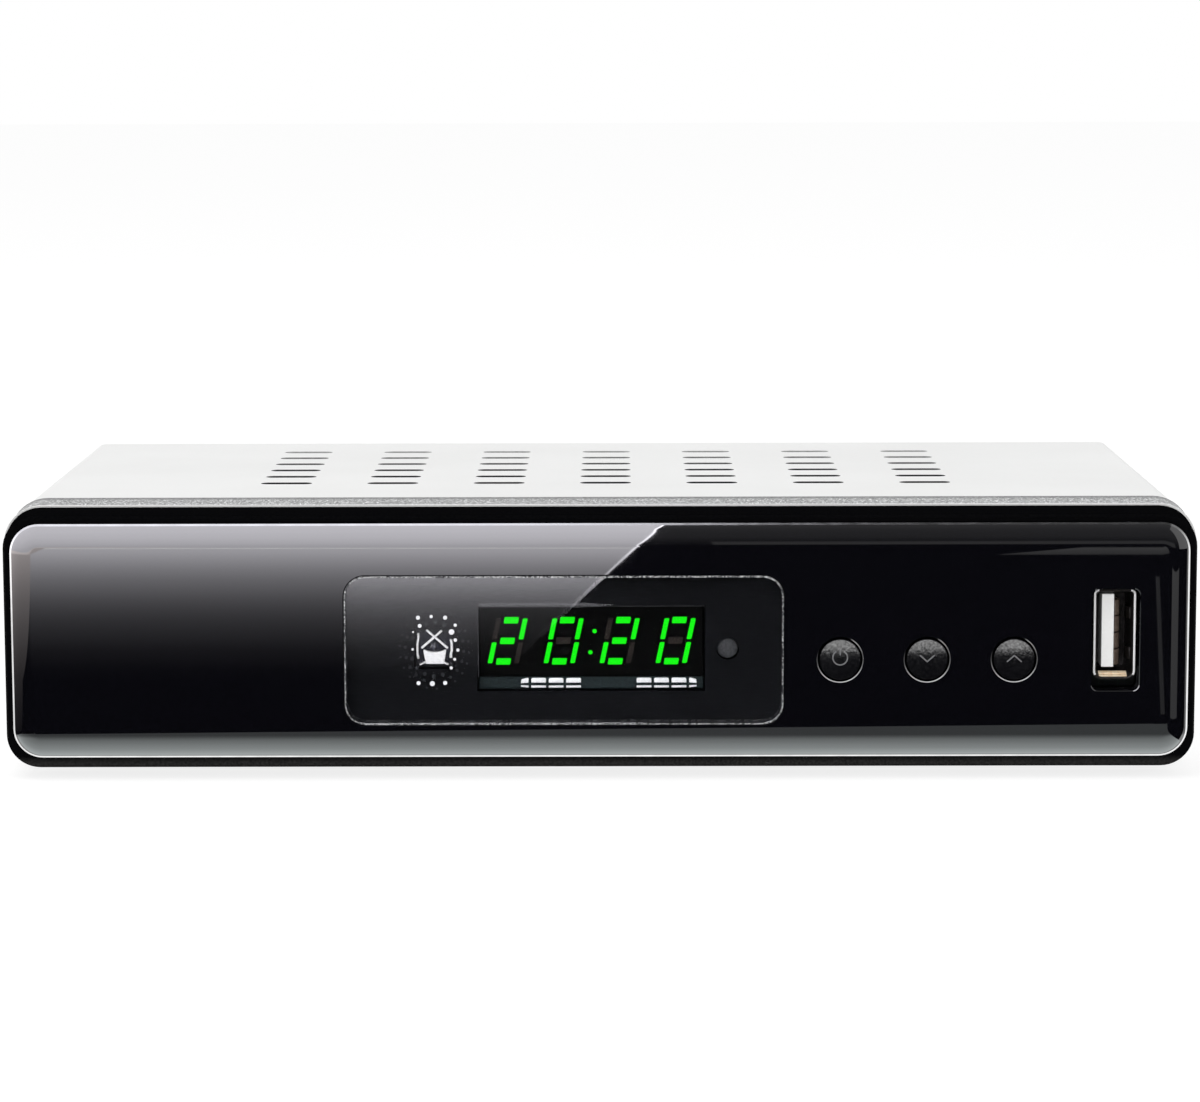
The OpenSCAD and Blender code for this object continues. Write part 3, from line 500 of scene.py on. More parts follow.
def bezel_black():
    """Dull black with no gloss of its own, and a painted sheen along its foot and its outer sides."""
    tree = new_finish("bezel_black")
    peel = noise(tree, 0.35, 3.0)
    deep = tone(peel, (0.3, (0.0018, 0.0018, 0.0022)), (0.7, (0.0038, 0.0038, 0.0043)))
    painted_sheen_tone = tone(peel, (0.3, 0.01), (0.7, (0.036, 0.035, 0.034)))
    spot, (low, high) = spot_on(tree), corners["bezel"]
    # Painted sheen: a lighter tone along the foot and the outer sides
    edge = sums("MAXIMUM", fall(spot["Z"], low[2] + 1.2, low[2] + 2.2),
                rise(sums("ABSOLUTE", spot["X"]), high[0] - 0.9, high[0] - 0.4))
    feed(tree, Base_Color=blend(edge, deep, painted_sheen_tone), Roughness=level(peel, 0.42, 0.52),
         Specular_IOR_Level=0.0, Normal=relief(peel, 0.003))


def fascia_gloss():
    """Black gloss of the front plate, with the faint grain of its backing; its lower margin is the glossiest."""
    tree = new_finish("fascia_gloss")
    bottom = corners["fascia"][0][2]
    feed(tree, Base_Color=tone(noise(tree, 0.12), (0.35, (0.0022, 0.0022, 0.0034)), (0.7, (0.0042, 0.0041, 0.006))),
         Roughness=level(noise(tree, 6.0, 4.0), 0.006, 0.02), IOR=1.8,
         Specular_IOR_Level=level(spot_on(tree)["Z"], 1.12, 0.5, (bottom + 3.2) * MM, (bottom + 3.6) * MM))


def fascia_edge():
    """Polished edge of the plate with a painted glow, strong low down and fading out near the top."""
    tree = new_finish("fascia_edge")
    drift, top = noise(tree, 3.0, 3.0), corners["fascia"][1][2]
    feed(tree, Base_Color=tone(drift, (0.3, (0.13, 0.131, 0.133)), (0.7, (0.17, 0.172, 0.174))),
         # The emission is painted light: the edge glows most at the bottom and least at the top
         Roughness=level(drift, 0.1, 0.2), Metallic=1.0, Emission_Color=tone(drift, (0.3, 0.8), (0.7, 1.0)),
         Emission_Strength=level(spot_on(tree)["Z"], 0.85, 0.01, (top - 4) * MM, (top - 0.9) * MM))


def bore_edge():
    """Edge of the button holes with a painted highlight: brightest where it faces up, faint at the sides, and dark
    where it faces down except at the upper right.
    """
    tree = new_finish("bore_edge")
    way = facing(tree)
    painted_highlight = sums("ADD", level(sums("ABSOLUTE", way["Z"]), 0.0, 0.8, 0.15, 0.6), level(noise(tree, 0.9, 3.0), 0.1, 0.3))
    fade = sums("MAXIMUM", level(way["Z"], 0.0, 1.0, -0.25, 0.15), level(way["X"], 1.0, 0.0, -0.45, -0.3))
    painted_highlight = product(painted_highlight, fade)
    feed(tree, Base_Color=tone(painted_highlight, (0.0, 0.002), (0.2, (0.14, 0.14, 0.142)), (1.0, (0.62, 0.62, 0.63))),
         Roughness=level(painted_highlight, 0.45, 0.3, 0, 1), Specular_IOR_Level=0.05)


def button_black():
    """Black plastic with a fine grain that breaks up its sheen."""
    tree = finish("button_black", (0.0015, 0.0015, 0.002), (0.005, 0.005, 0.006), (0.1, 0.22), 0.36, 0.022)
    feed(tree, Specular_IOR_Level=level(noise(tree, 0.3, 3.0), 0.2, 1.1))


def window_clear():
    """Clear plastic with a fine brushed grain, made less glossy in front of the clock."""
    tree = new_finish("window_clear")
    brush = noise(tree, 0.08, scale=(0.06, 1, 1))
    spot, (low, high), blur, top_blur = spot_on(tree), corners["clock_module"], 0.05, 0.45
    dull = product(rise(spot["X"], low[0] - blur, low[0] + blur), fall(spot["X"], high[0] - blur, high[0] + blur),
                   rise(spot["Z"], low[2] - blur, low[2] + blur), fall(spot["Z"], high[2] - blur, high[2] + top_blur))
    feed(tree, Base_Color=tone(brush, (0.3, (0.92, 0.925, 0.93)), (0.7, (0.97, 0.975, 0.98))),
         Roughness=level(brush, 0.0, 0.02), Transmission_Weight=1.0, IOR=level(dull, 1.8, 1.36, 0, 1))


def clock_green():
    """Lit strokes, with the fine grain of the diffuser."""
    tree = finish("clock_green", (0.001, 0.012, 0.001), (0.002, 0.02, 0.002), (0.35, 0.5), 0.18, shine=0.0, detail=2.0)
    glow = tone(noise(tree, 0.18), (0.3, (0.007, 0.88, 0.007)), (0.7, (0.011, 1.0, 0.011)))
    feed(tree, Emission_Color=glow, Emission_Strength=1.04)


def board_mask(name, copper, lacquer):
    """Solder mask with the raised lines of copper tracks under it."""
    tree = new_finish(name)
    bricks = {"Vector": place(tree), "Scale": 1 / (6 * MM), "Mortar Size": 0.03, "Mortar": (0, 0, 0, 1),
              "Color1": (1, 1, 1, 1), "Color2": (0.9, 0.9, 0.9, 1)}
    tracks = hues(add(tree, "ShaderNodeTexBrick", bricks).outputs["Color"])["Red"]
    feed(tree, Base_Color=tone(tracks, (0.1, copper), (0.9, lacquer)),
         Roughness=level(noise(tree, 2.0), 0.28, 0.42), Normal=relief(tracks, 0.02, 0.5))


cover_paint()
pan_zinc()
frame_silver()
bezel_black()
fascia_gloss()
fascia_edge()
bore_edge()
button_black()
window_clear()
clock_green()
board_mask("board_green", (0.03, 0.16, 0.06), (0.006, 0.075, 0.03))
board_mask("front_board_green", (0.004, 0.012, 0.008), (0.002, 0.005, 0.004))
finish("foot_rubber", (0.018, 0.018, 0.019), (0.035, 0.035, 0.036), (0.72, 0.9), 0.4, 0.01)
finish("screw_steel", (0.42, 0.43, 0.44), (0.62, 0.63, 0.64), (0.24, 0.4), 0.5, 0.004, 1.0)
finish("bead_silver", 0.9, (0.96, 0.96, 0.955), (0.25, 0.4), 0.5, 0.002, 0.1)
finish("window_chamfer", (0.04, 0.04, 0.045), (0.66, 0.665, 0.67), (0.2, 0.45), 0.26, shine=0.12, detail=2.0,
       ends=(0.46, 0.62))
finish("mask_black", (0.0022, 0.0024, 0.003), (0.0062, 0.0066, 0.0078), (0.5, 0.65), 0.1, scale=(0.05, 1, 1),
       shine=0.03, detail=3.0)
finish("print_grey", (0.13, 0.13, 0.135), (0.24, 0.24, 0.25), (0.4, 0.55), 0.12, shine=0.1)
finish("print_white", 0.7, 0.88, (0.4, 0.55), 0.1)
finish("plunger_brown", (0.16, 0.07, 0.03), (0.24, 0.11, 0.05), (0.35, 0.5), 0.6, 0.003)
finish("switch_black", (0.018, 0.018, 0.019), (0.032, 0.032, 0.034), (0.45, 0.6), 0.5, 0.006)
finish("clock_black", 0.0006, 0.0016, (0.5, 0.65), 0.3, 0.002, shine=0.02)
finish("clock_grey", (0.008, 0.006, 0.005), (0.022, 0.018, 0.015), (0.5, 0.65), 0.25, shine=0.05)
finish("lead_tin", (0.78, 0.79, 0.78), (0.93, 0.94, 0.93), (0.3, 0.45), 0.35, 0.01, 0.1)
finish("skirt_teal", (0.01, 0.016, 0.017), (0.024, 0.034, 0.035), (0.4, 0.6), 0.3, 0.006, shine=0.05)
finish("eye_dark", (0.01, 0.01, 0.016), (0.022, 0.022, 0.034), (0.08, 0.16), 1.0)
finish("eye_cup_tin", (0.012, 0.012, 0.015), (0.035, 0.035, 0.04), (0.5, 0.65), 0.5, 0.004, shine=0.1)
finish("eye_tin", (0.72, 0.72, 0.71), (0.9, 0.9, 0.88), (0.3, 0.45), 0.5, 0.01, 0.15)
finish("dot_grey", (0.014, 0.015, 0.017), (0.03, 0.031, 0.034), (0.4, 0.55), 0.15, shine=0.05)
finish("line_grey", (0.03, 0.03, 0.032), (0.06, 0.06, 0.063), (0.4, 0.55), 2.0, shine=0.05)
finish("lamp_grey", (0.035, 0.036, 0.039), (0.075, 0.077, 0.08), (0.6, 0.8), 0.35, 0.01, shine=0.05)
finish("socket_nickel", (0.6, 0.59, 0.57), (0.78, 0.77, 0.75), (0.16, 0.3), 0.8, 0.003, 1.0, (1, 0.2, 1))
finish("lip_nickel", (0.92, 0.92, 0.91), (0.97, 0.97, 0.96), (0.3, 0.42), 0.6, 0.002, 0.1)
finish("inner_nickel", (0.012, 0.011, 0.01), (0.035, 0.032, 0.03), (0.3, 0.45), 0.7, 0.004, 0.8)
finish("warm_nickel", (0.86, 0.62, 0.38), (0.98, 0.86, 0.66), (0.25, 0.4), 0.5, 0.004)
finish("tongue_white", (0.94, 0.94, 0.925), (0.975, 0.975, 0.965), (0.38, 0.5), 0.5, 0.003)
finish("spring_bronze", (0.11, 0.078, 0.06), (0.22, 0.168, 0.135), (0.3, 0.45), 0.5, 0.003, 0.1)
finish("contact_gold", (0.72, 0.48, 0.16), (0.88, 0.62, 0.26), (0.2, 0.35), 0.4, 0.003, 1.0)
finish("standoff_brass", (0.55, 0.4, 0.16), (0.7, 0.52, 0.24), (0.25, 0.4), 0.4, 0.004, 1.0, (1, 1, 0.1))
finish("tuner_tin", (0.56, 0.57, 0.58), (0.7, 0.71, 0.72), (0.28, 0.42), 3.0, 0.006, 1.0)
finish("chip_black", (0.012, 0.012, 0.013), (0.024, 0.024, 0.026), (0.5, 0.68), 0.3, 0.008)
finish("sink_alu", (0.52, 0.53, 0.54), (0.68, 0.69, 0.7), (0.3, 0.45), 0.5, 0.004, 1.0, (1, 0.08, 1))
finish("can_blue", (0.01, 0.014, 0.05), (0.018, 0.024, 0.08), (0.25, 0.38), 1.5, 0.003)
finish("coil_grey", (0.035, 0.035, 0.038), (0.06, 0.06, 0.064), (0.55, 0.75), 0.4, 0.012)
finish("av_black", 0.008, 0.018, (0.42, 0.58), 0.6, 0.006)
finish("jack_orange", (0.62, 0.19, 0.03), (0.76, 0.26, 0.05), (0.35, 0.5), 0.6, 0.004)
finish("jack_black", 0.007, 0.015, (0.38, 0.52), 0.6, 0.005)
finish("ribbon_grey", (0.4, 0.41, 0.42), (0.58, 0.59, 0.6), (0.42, 0.55), 1.2, 0.05, scale=(1, 0.02, 0.02))
finish("header_ivory", (0.66, 0.62, 0.5), (0.76, 0.72, 0.6), (0.4, 0.55), 0.6, 0.004)


# Front plate

def open_out(tool, front):
    """Widens a cutting tool at the front, so that its hole has a chamfered mouth."""
    low, high = extent([v.co for v in tool.data.vertices])
    chamfer, spare = low[1] - front, 2
    mark(tool, "FACE", looks(FRONT))
    pull(-chamfer)
    stretch(*[1 + 2 * chamfer / (high[i] - low[i]) for i in (0, Z)], between(low, high))
    pull(-chamfer - spare)
    let_go()
    return tool


def fascia_plate():
    """A plate whose margin falls away on an arc; its outermost ring wears the painted glow of the edge."""
    low, high = corners["fascia"]
    front, behind, margin, drop, corner = low[1], high[1] + 2, 3.4, 1.6, 4.4
    radius = (margin ** 2 + drop ** 2) / (2 * drop)
    plate = slab("fascia_plate", (low[0], front + drop, low[2]), high, corner, 12)
    mark(plate, "FACE", looks(FRONT))
    steepest = last = math.asin(margin / radius)
    angles = [math.radians(a) for a in (45, 40, 35, 30, 25, 20, 15, 10.5, 6.5, 3, 0)]
    for angle in angles:
        inset(radius * (math.sin(last) - math.sin(angle)), radius * (math.cos(angle) - math.cos(last)))
        last = angle
    coat(plate, "fascia_gloss")
    ring = front + drop - radius * (math.cos(angles[0]) - math.cos(steepest))
    lay_finish(plate, "fascia_edge", lambda f: mid(f)[1] > ring and -0.95 < f.normal.y < -0.2)

    (left, _, bottom), (right, _, top) = corners["display_window"]
    opening = slab("opening", (left - 0.1, front + 0.06, bottom - 0.1), (right + 0.1, behind, top + 0.1), 3.3, 10)
    x, z, half_w, half_h = centre("data_socket_shell")[0], 21.425, 3.575, 7.75
    mouth = slab("mouth", (x - half_w, front + 0.1, z - half_h), (x + half_w, behind, z + half_h), 1, 8)
    keys = [centre(control + "_button") for control in CONTROLS]
    bores = [rod("bore", x, z, 6.82, front + 0.12, behind) for x, _, z in keys]
    cut(plate, *[open_out(tool, front) for tool in (opening, mouth, *bores)])

    def from_key(face):
        x, _, z = mid(face)
        return min(math.hypot(x - key[0], z - key[2]) for key in keys)
    # The hole walls get the painted highlight of the bore edge, except the faces that look down, save those on the
    # right
    lay_finish(plate, "bore_edge", lambda f: -0.98 < f.normal.y < -0.05 and from_key(f) < 3.9
               and (f.normal.z > -0.25 or f.normal.x < -0.3))
    settle(plate, "fascia_black", "fascia")


def window_pane():
    """A clear pane with a chamfered front edge, a hair clear of the mask behind it."""
    low, high = corners["display_window"]
    pane = slab("window_pane", low, (high[0], high[1] - 0.05, high[2]), 3.2, 10)
    round_edges(pane, rim_at(low[1]), 0.25, 2)
    coat(pane, "window_clear")
    lay_finish(pane, "window_chamfer", lambda f: -0.98 < f.normal.y < -0.1)
    pane.visible_shadow = False
    settle(pane, "window_clear", "display_window")


# Buttons

def button_caps():
    """A domed cap with a collar behind the plate and a stem down to its switch, made once and copied."""
    low, high, x, z = bounds_of("power_button")
    dome, wide, collar, collar_deep, stem = 14.0, 6.2, 8.6, 0.8, 3
    back = RIM + 2.6
    cap = rod("cap", x, z, wide, low[1] + dome - math.sqrt(dome ** 2 - wide ** 2 / 4), back)
    mark(cap, "FACE", looks(FRONT))
    last = wide / 2
    for r in (2.95, 2.6, 2.1, 1.6, 1.1, 0.6, 0.2):
        inset(last - r, math.sqrt(dome ** 2 - r ** 2) - math.sqrt(dome ** 2 - last ** 2))
        last = r
    mark(cap, "FACE", looks(BACK))
    pull()
    stretch(collar / wide, collar / wide, (x, back, z))
    pull(collar_deep)
    pull()
    stretch(stem / collar, stem / collar, (x, back + collar_deep, z))
    pull(high[1] - back - collar_deep)
    soften(cap, 0.12, 2, 42)
    for control in CONTROLS:
        node = control + "_button"
        made = together(node + "_cap", copy_to(cap, centre(node)[0] - x, centre(node)[2] - z))
        settle(made, "button_black", node, paint="button_black", body=control + "_key")
    scrap(cap)


def strip(x, y, z, length, width, turn):
    """A narrow flat strip that faces the front, cut across so that it can bend."""
    let_go()
    bpy.ops.mesh.primitive_plane_add(size=MM, location=(x * MM, y * MM, z * MM),
                                     rotation=(math.pi / 2, math.radians(turn), 0))
    bpy.context.object.scale = (length, width, 1)
    made = fix_place("strip")
    split_edges(made, every, 6)
    return made


def power_sign(x, y, z):
    """A ring open at the top with a bar in the opening."""
    z += 0.32
    let_go()
    bpy.ops.mesh.primitive_circle_add(vertices=56, radius=1.2 * MM, location=(x * MM, y * MM, z * MM),
                                      rotation=(math.pi / 2, 0, 0))
    ring = fix_place("ring")
    mark(ring, "EDGE", every)
    pull()
    stretch(0.84, 0.84, (x, y, z))
    mark(ring, "FACE", lambda f: mid(f)[2] - z > 1.75 * abs(mid(f)[0] - x))
    bpy.ops.mesh.delete(type="FACE")
    return ring, strip(x, y, z + 0.86, 0.18, 1.0, 0)


def chevron(x, y, z, way):
    """Two short strips that meet in a point."""
    return [strip(x + side * 0.52, y, z + 0.15, 1.55, 0.19, way * side * 41) for side in (-1, 1)]


def button_signs():
    """Thin prints, each made flat in front of its cap and then wrapped on to it."""
    for control in CONTROLS:
        low, _, x, z = bounds_of(control + "_button")
        y = low[1] - 0.3
        flat = power_sign(x, y, z) if control == "power" else chevron(x, y, z, 1 if control == "up" else -1)
        sign = together(control + "_sign", *flat)
        work(sign, "SHRINKWRAP", target=bpy.data.objects[control + "_button_cap"], wrap_method="PROJECT",
             offset=0.012 * MM, use_project_y=True, use_positive_direction=True, use_negative_direction=True)
        work(sign, "SOLIDIFY", thickness=0.03 * MM, offset=0)
        mark(sign, "FACE", every)
        bpy.ops.mesh.normals_make_consistent(inside=False)
        settle(sign, "clock_grey", paint="print_grey", body=control + "_key")


# Remote eye

def eye_cage():
    """A dark cup round the lens, and a tin cage on its rim: side posts, crossed bars and a solid band."""
    low, high, x, z = bounds_of("remote_eye_shield")
    front = low[1]
    cup = block("eye_cup", (low[0], front + 0.7, low[2]), high)
    mark(cup, "FACE", looks(FRONT))
    inset(0.5)
    pull(high[1] - front - 1.1)
    soften(cup, 0.1)
    settle(cup, "eye_dark", "remote_eye_shield", paint="eye_cup_tin")

    def bar(x0, x1, z0, z1, depth=0.85, turn=0):
        return block("bar", (x + x0, front, z + z0), (x + x1, front + depth, z + z1), turn)
    crossed = [bar(-1.79, 2.51, 1.26, 1.6, 0.3, 41), bar(-2.5, 1.6, 1.21, 1.55, 0.3, -41)]
    posts = [bar(-2.8, -2.47, -1.6, 2.3), bar(2.4, 2.78, -1.45, 1.35)]
    feet = [bar(-2.35, -1.4, -2.45, -2.22, turn=-24), bar(1.3, 2.1, -2.45, -2.22, turn=24)]
    for post, inward in zip(posts, (0.16, -0.16)):
        split_edges(post, runs_along(Z), 4)
        mark(post, "VERT", lambda v: abs(v.co.z / MM - z - 0.2) > 1.05)
        shift(inward, 0)
    band = bar(-1.74, 1.74, -2.38, -0.25)
    mark(band, "VERT", lambda v: v.co.z / MM < z - 2)
    stretch(0.8, 1, (x, front, z))
    cut(band, rod("hollow", x, z + 2.9, 7.0, front - 1, front + 1))
    cage = together("eye_cage", *crossed, *posts, *feet, band)
    soften(cage, 0.07)
    settle(cage, "eye_tin", "remote_eye_shield", paint="eye_tin")


def eye_dots():
    """Dots printed on the back of the window round the eye: bright close in, faint further out."""
    x, _, z = centre("remote_eye_shield")
    y = RIM + 0.755
    dot = rod("dot", x, z, 1.0, y, y + 0.03, 14)
    mark(dot, "FACE", looks(FRONT))
    inset(0.08, 0.004)

    def spread(name, slot, paint, spots):
        made = []
        for dx, dz, d in spots:
            made.append(copy_to(dot, 0, 0))
            mark(made[-1], "VERT", every)
            stretch(d, d, (x, y, z))
            shift(dx, dz)
        settle(together(name, *made), slot, paint=paint)

    bright = [(-2.45, 4.83, 0.62), (-0.46, 5.0, 0.5), (1.64, 4.83, 0.62), (-2.2, 3.58, 0.6), (3.16, 3.68, 0.5),
              (2.6, 2.64, 0.85), (3.16, 1.4, 0.55), (3.54, -0.12, 0.5), (3.05, -1.53, 0.45), (2.5, -2.85, 0.5),
              (-3.3, 0.0, 0.4), (-3.2, 2.64, 0.3), (-2.45, -5.17, 0.62), (-0.36, -5.25, 0.75), (1.58, -5.15, 0.62)]
    faint = []
    for reach, count, d in ((3.9, 16, 0.62), (4.8, 20, 0.5), (5.7, 22, 0.36)):
        for i in range(count):
            turn = 2 * math.pi * (i + reach) / count
            dx, dz = reach * 0.92 * math.cos(turn), reach * 1.06 * math.sin(turn)
            if all(math.hypot(dx - bx, dz - bz) > 0.75 for bx, bz, _ in bright):
                faint.append((dx, dz, d))
    spread("eye_dots_bright", "eye_tin", "print_white", bright)
    spread("eye_dots_faint", "mask_black", "dot_grey", faint)
    scrap(dot)


def lamp_lens():
    """A round lamp with a nearly flat front and a collar at the board."""
    low, high, x, z = bounds_of("standby_lamp")
    lens = rod("lens", x, z, 3.0, low[1] + 0.2, high[1], 48)
    mark(lens, "FACE", looks(FRONT))
    for width, height in ((0.12, 0.08), (0.28, 0.06), (0.4, 0.04), (0.4, 0.02)):
        inset(width, height)
    collar = rod("collar", x, z, high[0] - low[0], high[1] - 1.0, high[1], 48)
    settle(together("standby_lens", lens, collar), "lamp_grey", "standby_lamp", paint="lamp_grey")


# Trim

def frame_bead():
    """A near-white bead let in between the bezel and the frame, a painted highlight along the frame's front edge."""
    low, high = corners["bezel"]
    front, corner = corners["front_frame"][0][1], 5.53

    def outline(name, grow, y0, y1):
        return slab(name, (low[0] - grow, y0, low[2] - grow), (high[0] + grow, y1, high[2] + grow), corner + grow, 12)
    bead = outline("frame_bead", 0.28, front - 0.28, front + 0.2)
    cut(bead, outline("hollow", -0.5, front - 2, front + 2))
    soften(bead, 0.1)
    settle(bead, "frame_silver", paint="bead_silver")


# Clock

def clock_lines():
    """A thin grey line along the top of the clock's opening and drawn on down its left side, a painted highlight of the
    clock's edge.
    """
    low, high = corners["clock_module"]
    under = high[2] - 0.04
    line = block("clock_lines", (low[0] - 0.1, RIM + 0.76, under), (high[0] + 0.05, RIM + 0.79, high[2] + 0.06))
    slice_at(line, (low[0], 0, 0), (1, 0, 0))
    mark(line, "FACE", lambda f: f.normal.z < -0.9 and mid(f)[0] < low[0])
    pull(z=low[2] + 0.2 - under)
    settle(line, "clock_grey", paint="line_grey")


def loose_parts(obj):
    """The separate parts of a mesh, as sets of vertex numbers."""
    part_of = list(range(len(obj.data.vertices)))
    for edge in obj.data.edges:
        a, b = (part_of[i] for i in edge.vertices)
        if a != b:
            part_of = [a if p == b else p for p in part_of]
    return [{i for i, p in enumerate(part_of) if p == each} for each in sorted(set(part_of))]


def clock_strokes(name, node, finish_name):
    """The strokes of the CAD node: each a dark frame with round corners and a bright field."""
    pick_up(nodes[node])
    bpy.ops.object.duplicate(linked=False)
    strokes = bpy.context.object
    strokes.name = name
    for key in list(strokes.keys()):
        del strokes[key]
    strokes.parent = None
    strokes.data.materials.clear()
    mark(strokes, "VERT", every)
    bpy.ops.mesh.remove_doubles(threshold=WELD)
    bpy.ops.mesh.dissolve_limited(angle_limit=math.radians(0.5))
    let_go()

    # Dots of the colon, flat strokes and upright strokes each get their own size and place
    x, _, z = centre("clock_module")
    slant, pitch = math.tan(math.radians(11)), 8.47
    for part in loose_parts(strokes):
        about = between(*extent([strokes.data.vertices[i].co for i in part]))
        lean = about[0] - x - 0.2 - slant * (about[2] - z - 0.3)
        across = min((lean - (i - 1.5) * pitch for i in range(4)), key=abs)
        if abs(across) > 3:
            wide, tall, side, lift = 1.0, 1.0, 0.0, -0.4
        elif abs(across) < 0.5:
            wide, tall, side, lift = 0.86, 1.08, -0.17, -0.25
        else:
            wide, tall, side, lift = 1.1, 1.0, -0.25 if across < 0 else 0.0, -0.25
        mark(strokes, "VERT", lambda v: v.index in part)
        stretch(wide, tall, about)
        shift(side, lift)
        let_go()
    deep = runs_along(Y)
    round_edges(strokes, lambda e: deep(e) and e.calc_face_angle(0) > 0.6, 0.22, 4)
    coat(strokes, "clock_black")
    mark(strokes, "FACE", looks(FRONT))
    bpy.ops.mesh.inset(thickness=0.045 * MM, depth=0.01 * MM, use_individual=True)
    lay_finish(strokes, finish_name, looks(FRONT))
    settle(strokes, finish_name, node)


def clock_tabs():
    """Grooved solder tabs in two groups on a dark teal sheet under the clock, painted shade of the board behind; the
    outer tabs are tapered.
    """
    low, high = corners["clock_leads"]
    x = centre("clock_module")[0]
    front, top, half, pitch = low[1], high[2] - 0.3, 1.12, 2.65
    upper = block("upper", (x - half, front, top - 0.58), (x + half, high[1], top))
    round_edges(upper, lambda e: runs_along(Y)(e) and mid(e)[2] > top - 0.05, 0.32, 4)
    lower = block("lower", (x - half, front + 0.22, top - 1.4), (x + half, high[1], top - 1.08))
    tab = together("tab", upper, lower)
    soften(tab, 0.06)
    made = []
    for middle, outer, side in ((-6.664, 0, 1), (11.968, 3, -1)):
        for i in range(4):
            off = middle + (i - 1.5) * pitch
            made.append(copy_to(tab, off, 0))
            if i == outer:
                at = x + off
                mark(made[-1], "VERT", every)
                stretch(0.5, 1, (at + side * 1.1, front, top))
                mark(made[-1], "VERT", lambda v: (v.co.x / MM - at) * side < 0.3)
                stretch(1, 0.7, (at, front, top - 0.9))
    scrap(tab)
    settle(together("clock_tabs", *made), "lead_tin", "clock_leads", paint="lead_tin")

    (left, _, bottom), (right, back, _) = corners["clock_module"]
    # A dark teal sheet behind the tabs: painted shade standing for the board seen in shadow
    shade_sheet = block("clock_skirt", (left, front + 0.42, low[2] - 0.1), (right, back - 0.1, bottom + 0.3))
    soften(shade_sheet, 0.12)
    settle(shade_sheet, "clock_grey", paint="skirt_teal")


# Data socket

SOCKET_HALF_W, SOCKET_WALL = 2.85, 0.3


def socket_shell():
    """A deep-drawn shell with painted shade inside, a painted highlight on the lips at its sides, and a light folded
    sill.
    """
    (_, front, _), (_, back, _), x, z = bounds_of("data_socket_shell")
    half_w, half_h, flare = SOCKET_HALF_W, 6.55, 0.33
    deep = runs_along(Y)
    shell = block("socket_shell", (x - half_w, front, z - half_h), (x + half_w, back, z + half_h))
    round_edges(shell, lambda e: deep(e) and mid(e)[2] > z, 0.7, 5)
    round_edges(shell, lambda e: deep(e) and mid(e)[2] < z - 6, 1.2, 6)
    mark(shell, "FACE", looks(FRONT))
    inset(SOCKET_WALL)
    pull(back - front - 1)
    slice_at(shell, (0, front + 0.9, 0), (0, 1, 0))
    mark(shell, "VERT", lambda v: v.co.y / MM < front + 0.01)
    stretch((half_w + flare) / half_w, (half_h + flare) / half_h, (x, front, z))
    # The inside of the shell is painted shade; the front faces of the side lips get a painted highlight
    coat(shell, "inner_nickel")
    lay_finish(shell, "lip_nickel", lambda f: f.normal.y < -0.99 and mid(f)[1] < front + 0.1
               and abs(mid(f)[0] - x) > 2.3 and mid(f)[2] > z - 6.1)
    lay_finish(shell, "socket_nickel", lambda f: f.normal.x * (mid(f)[0] - x) + f.normal.z * (mid(f)[2] - z) > 0.01)
    round_edges(shell, rim_at(front), 0.06, 2)
    settle(shell, "socket_nickel", "data_socket_shell")

    def sill(z0, z1, y0, y1, thick=0.2):
        made = block("sill", (x - 2.26, y0, z0), (x + 1.98, y1, z0 + thick))
        mark(made, "VERT", lambda v: v.co.y / MM > y1 - 0.01)
        shift(0, z1 - z0 - thick)
        return made
    sills = together("socket_sill", sill(z - 6.5, z - 6.14, front + 0.25, front + 0.8),
                     sill(z - 6.2, z - 5.76, front + 0.8, front + 1.5))
    soften(sills, 0.04)
    settle(sills, "socket_nickel", paint="warm_nickel")


def spring_steps():
    """How far each of the four springs stands above the lowest."""
    low, high = corners["data_socket_contacts"]
    return [i * (high[2] - low[2] - 1.0) / 3 for i in range(4)]


def socket_tongue():
    """The white tongue, its front edge rounded and a shallow channel under each spring."""
    low, high = corners["data_socket_tongue"]
    tongue = block("socket_tongue", (low[0], low[1], low[2] + 0.5), (high[0], high[1], high[2] + 0.55))
    for step in spring_steps():
        at = corners["data_socket_contacts"][0][2] + step + 0.5
        cut(tongue, block("channel", (high[0] - 0.18, low[1] + 0.9, at - 0.75), (high[0] + 1, high[1] - 1, at + 0.75)))
    soften(tongue, 0.085, 3)
    settle(tongue, "tongue_white", "data_socket_tongue", paint="tongue_white")


def socket_springs():
    """Four springs bowed out from the tongue."""
    low, high = corners["data_socket_contacts"]
    start, length, rows, reach = low[1], high[1] - low[1], 20, 0.75
    spring = block("spring", (low[0] + 0.2, start, low[2]), (low[0] + 0.42, high[1], low[2] + 2.3))
    split_edges(spring, runs_along(Y), rows - 1)
    bow(spring, [start + length * i / rows for i in range(1, rows)],
        lambda y: reach * math.sin(math.pi * math.sqrt((y - start) / length)) ** 2)
    soften(spring, 0.05, 1, 60)
    springs = repeat("socket_springs", spring, [step - 0.65 for step in spring_steps()])
    settle(springs, "contact_gold", "data_socket_contacts", paint="spring_bronze")


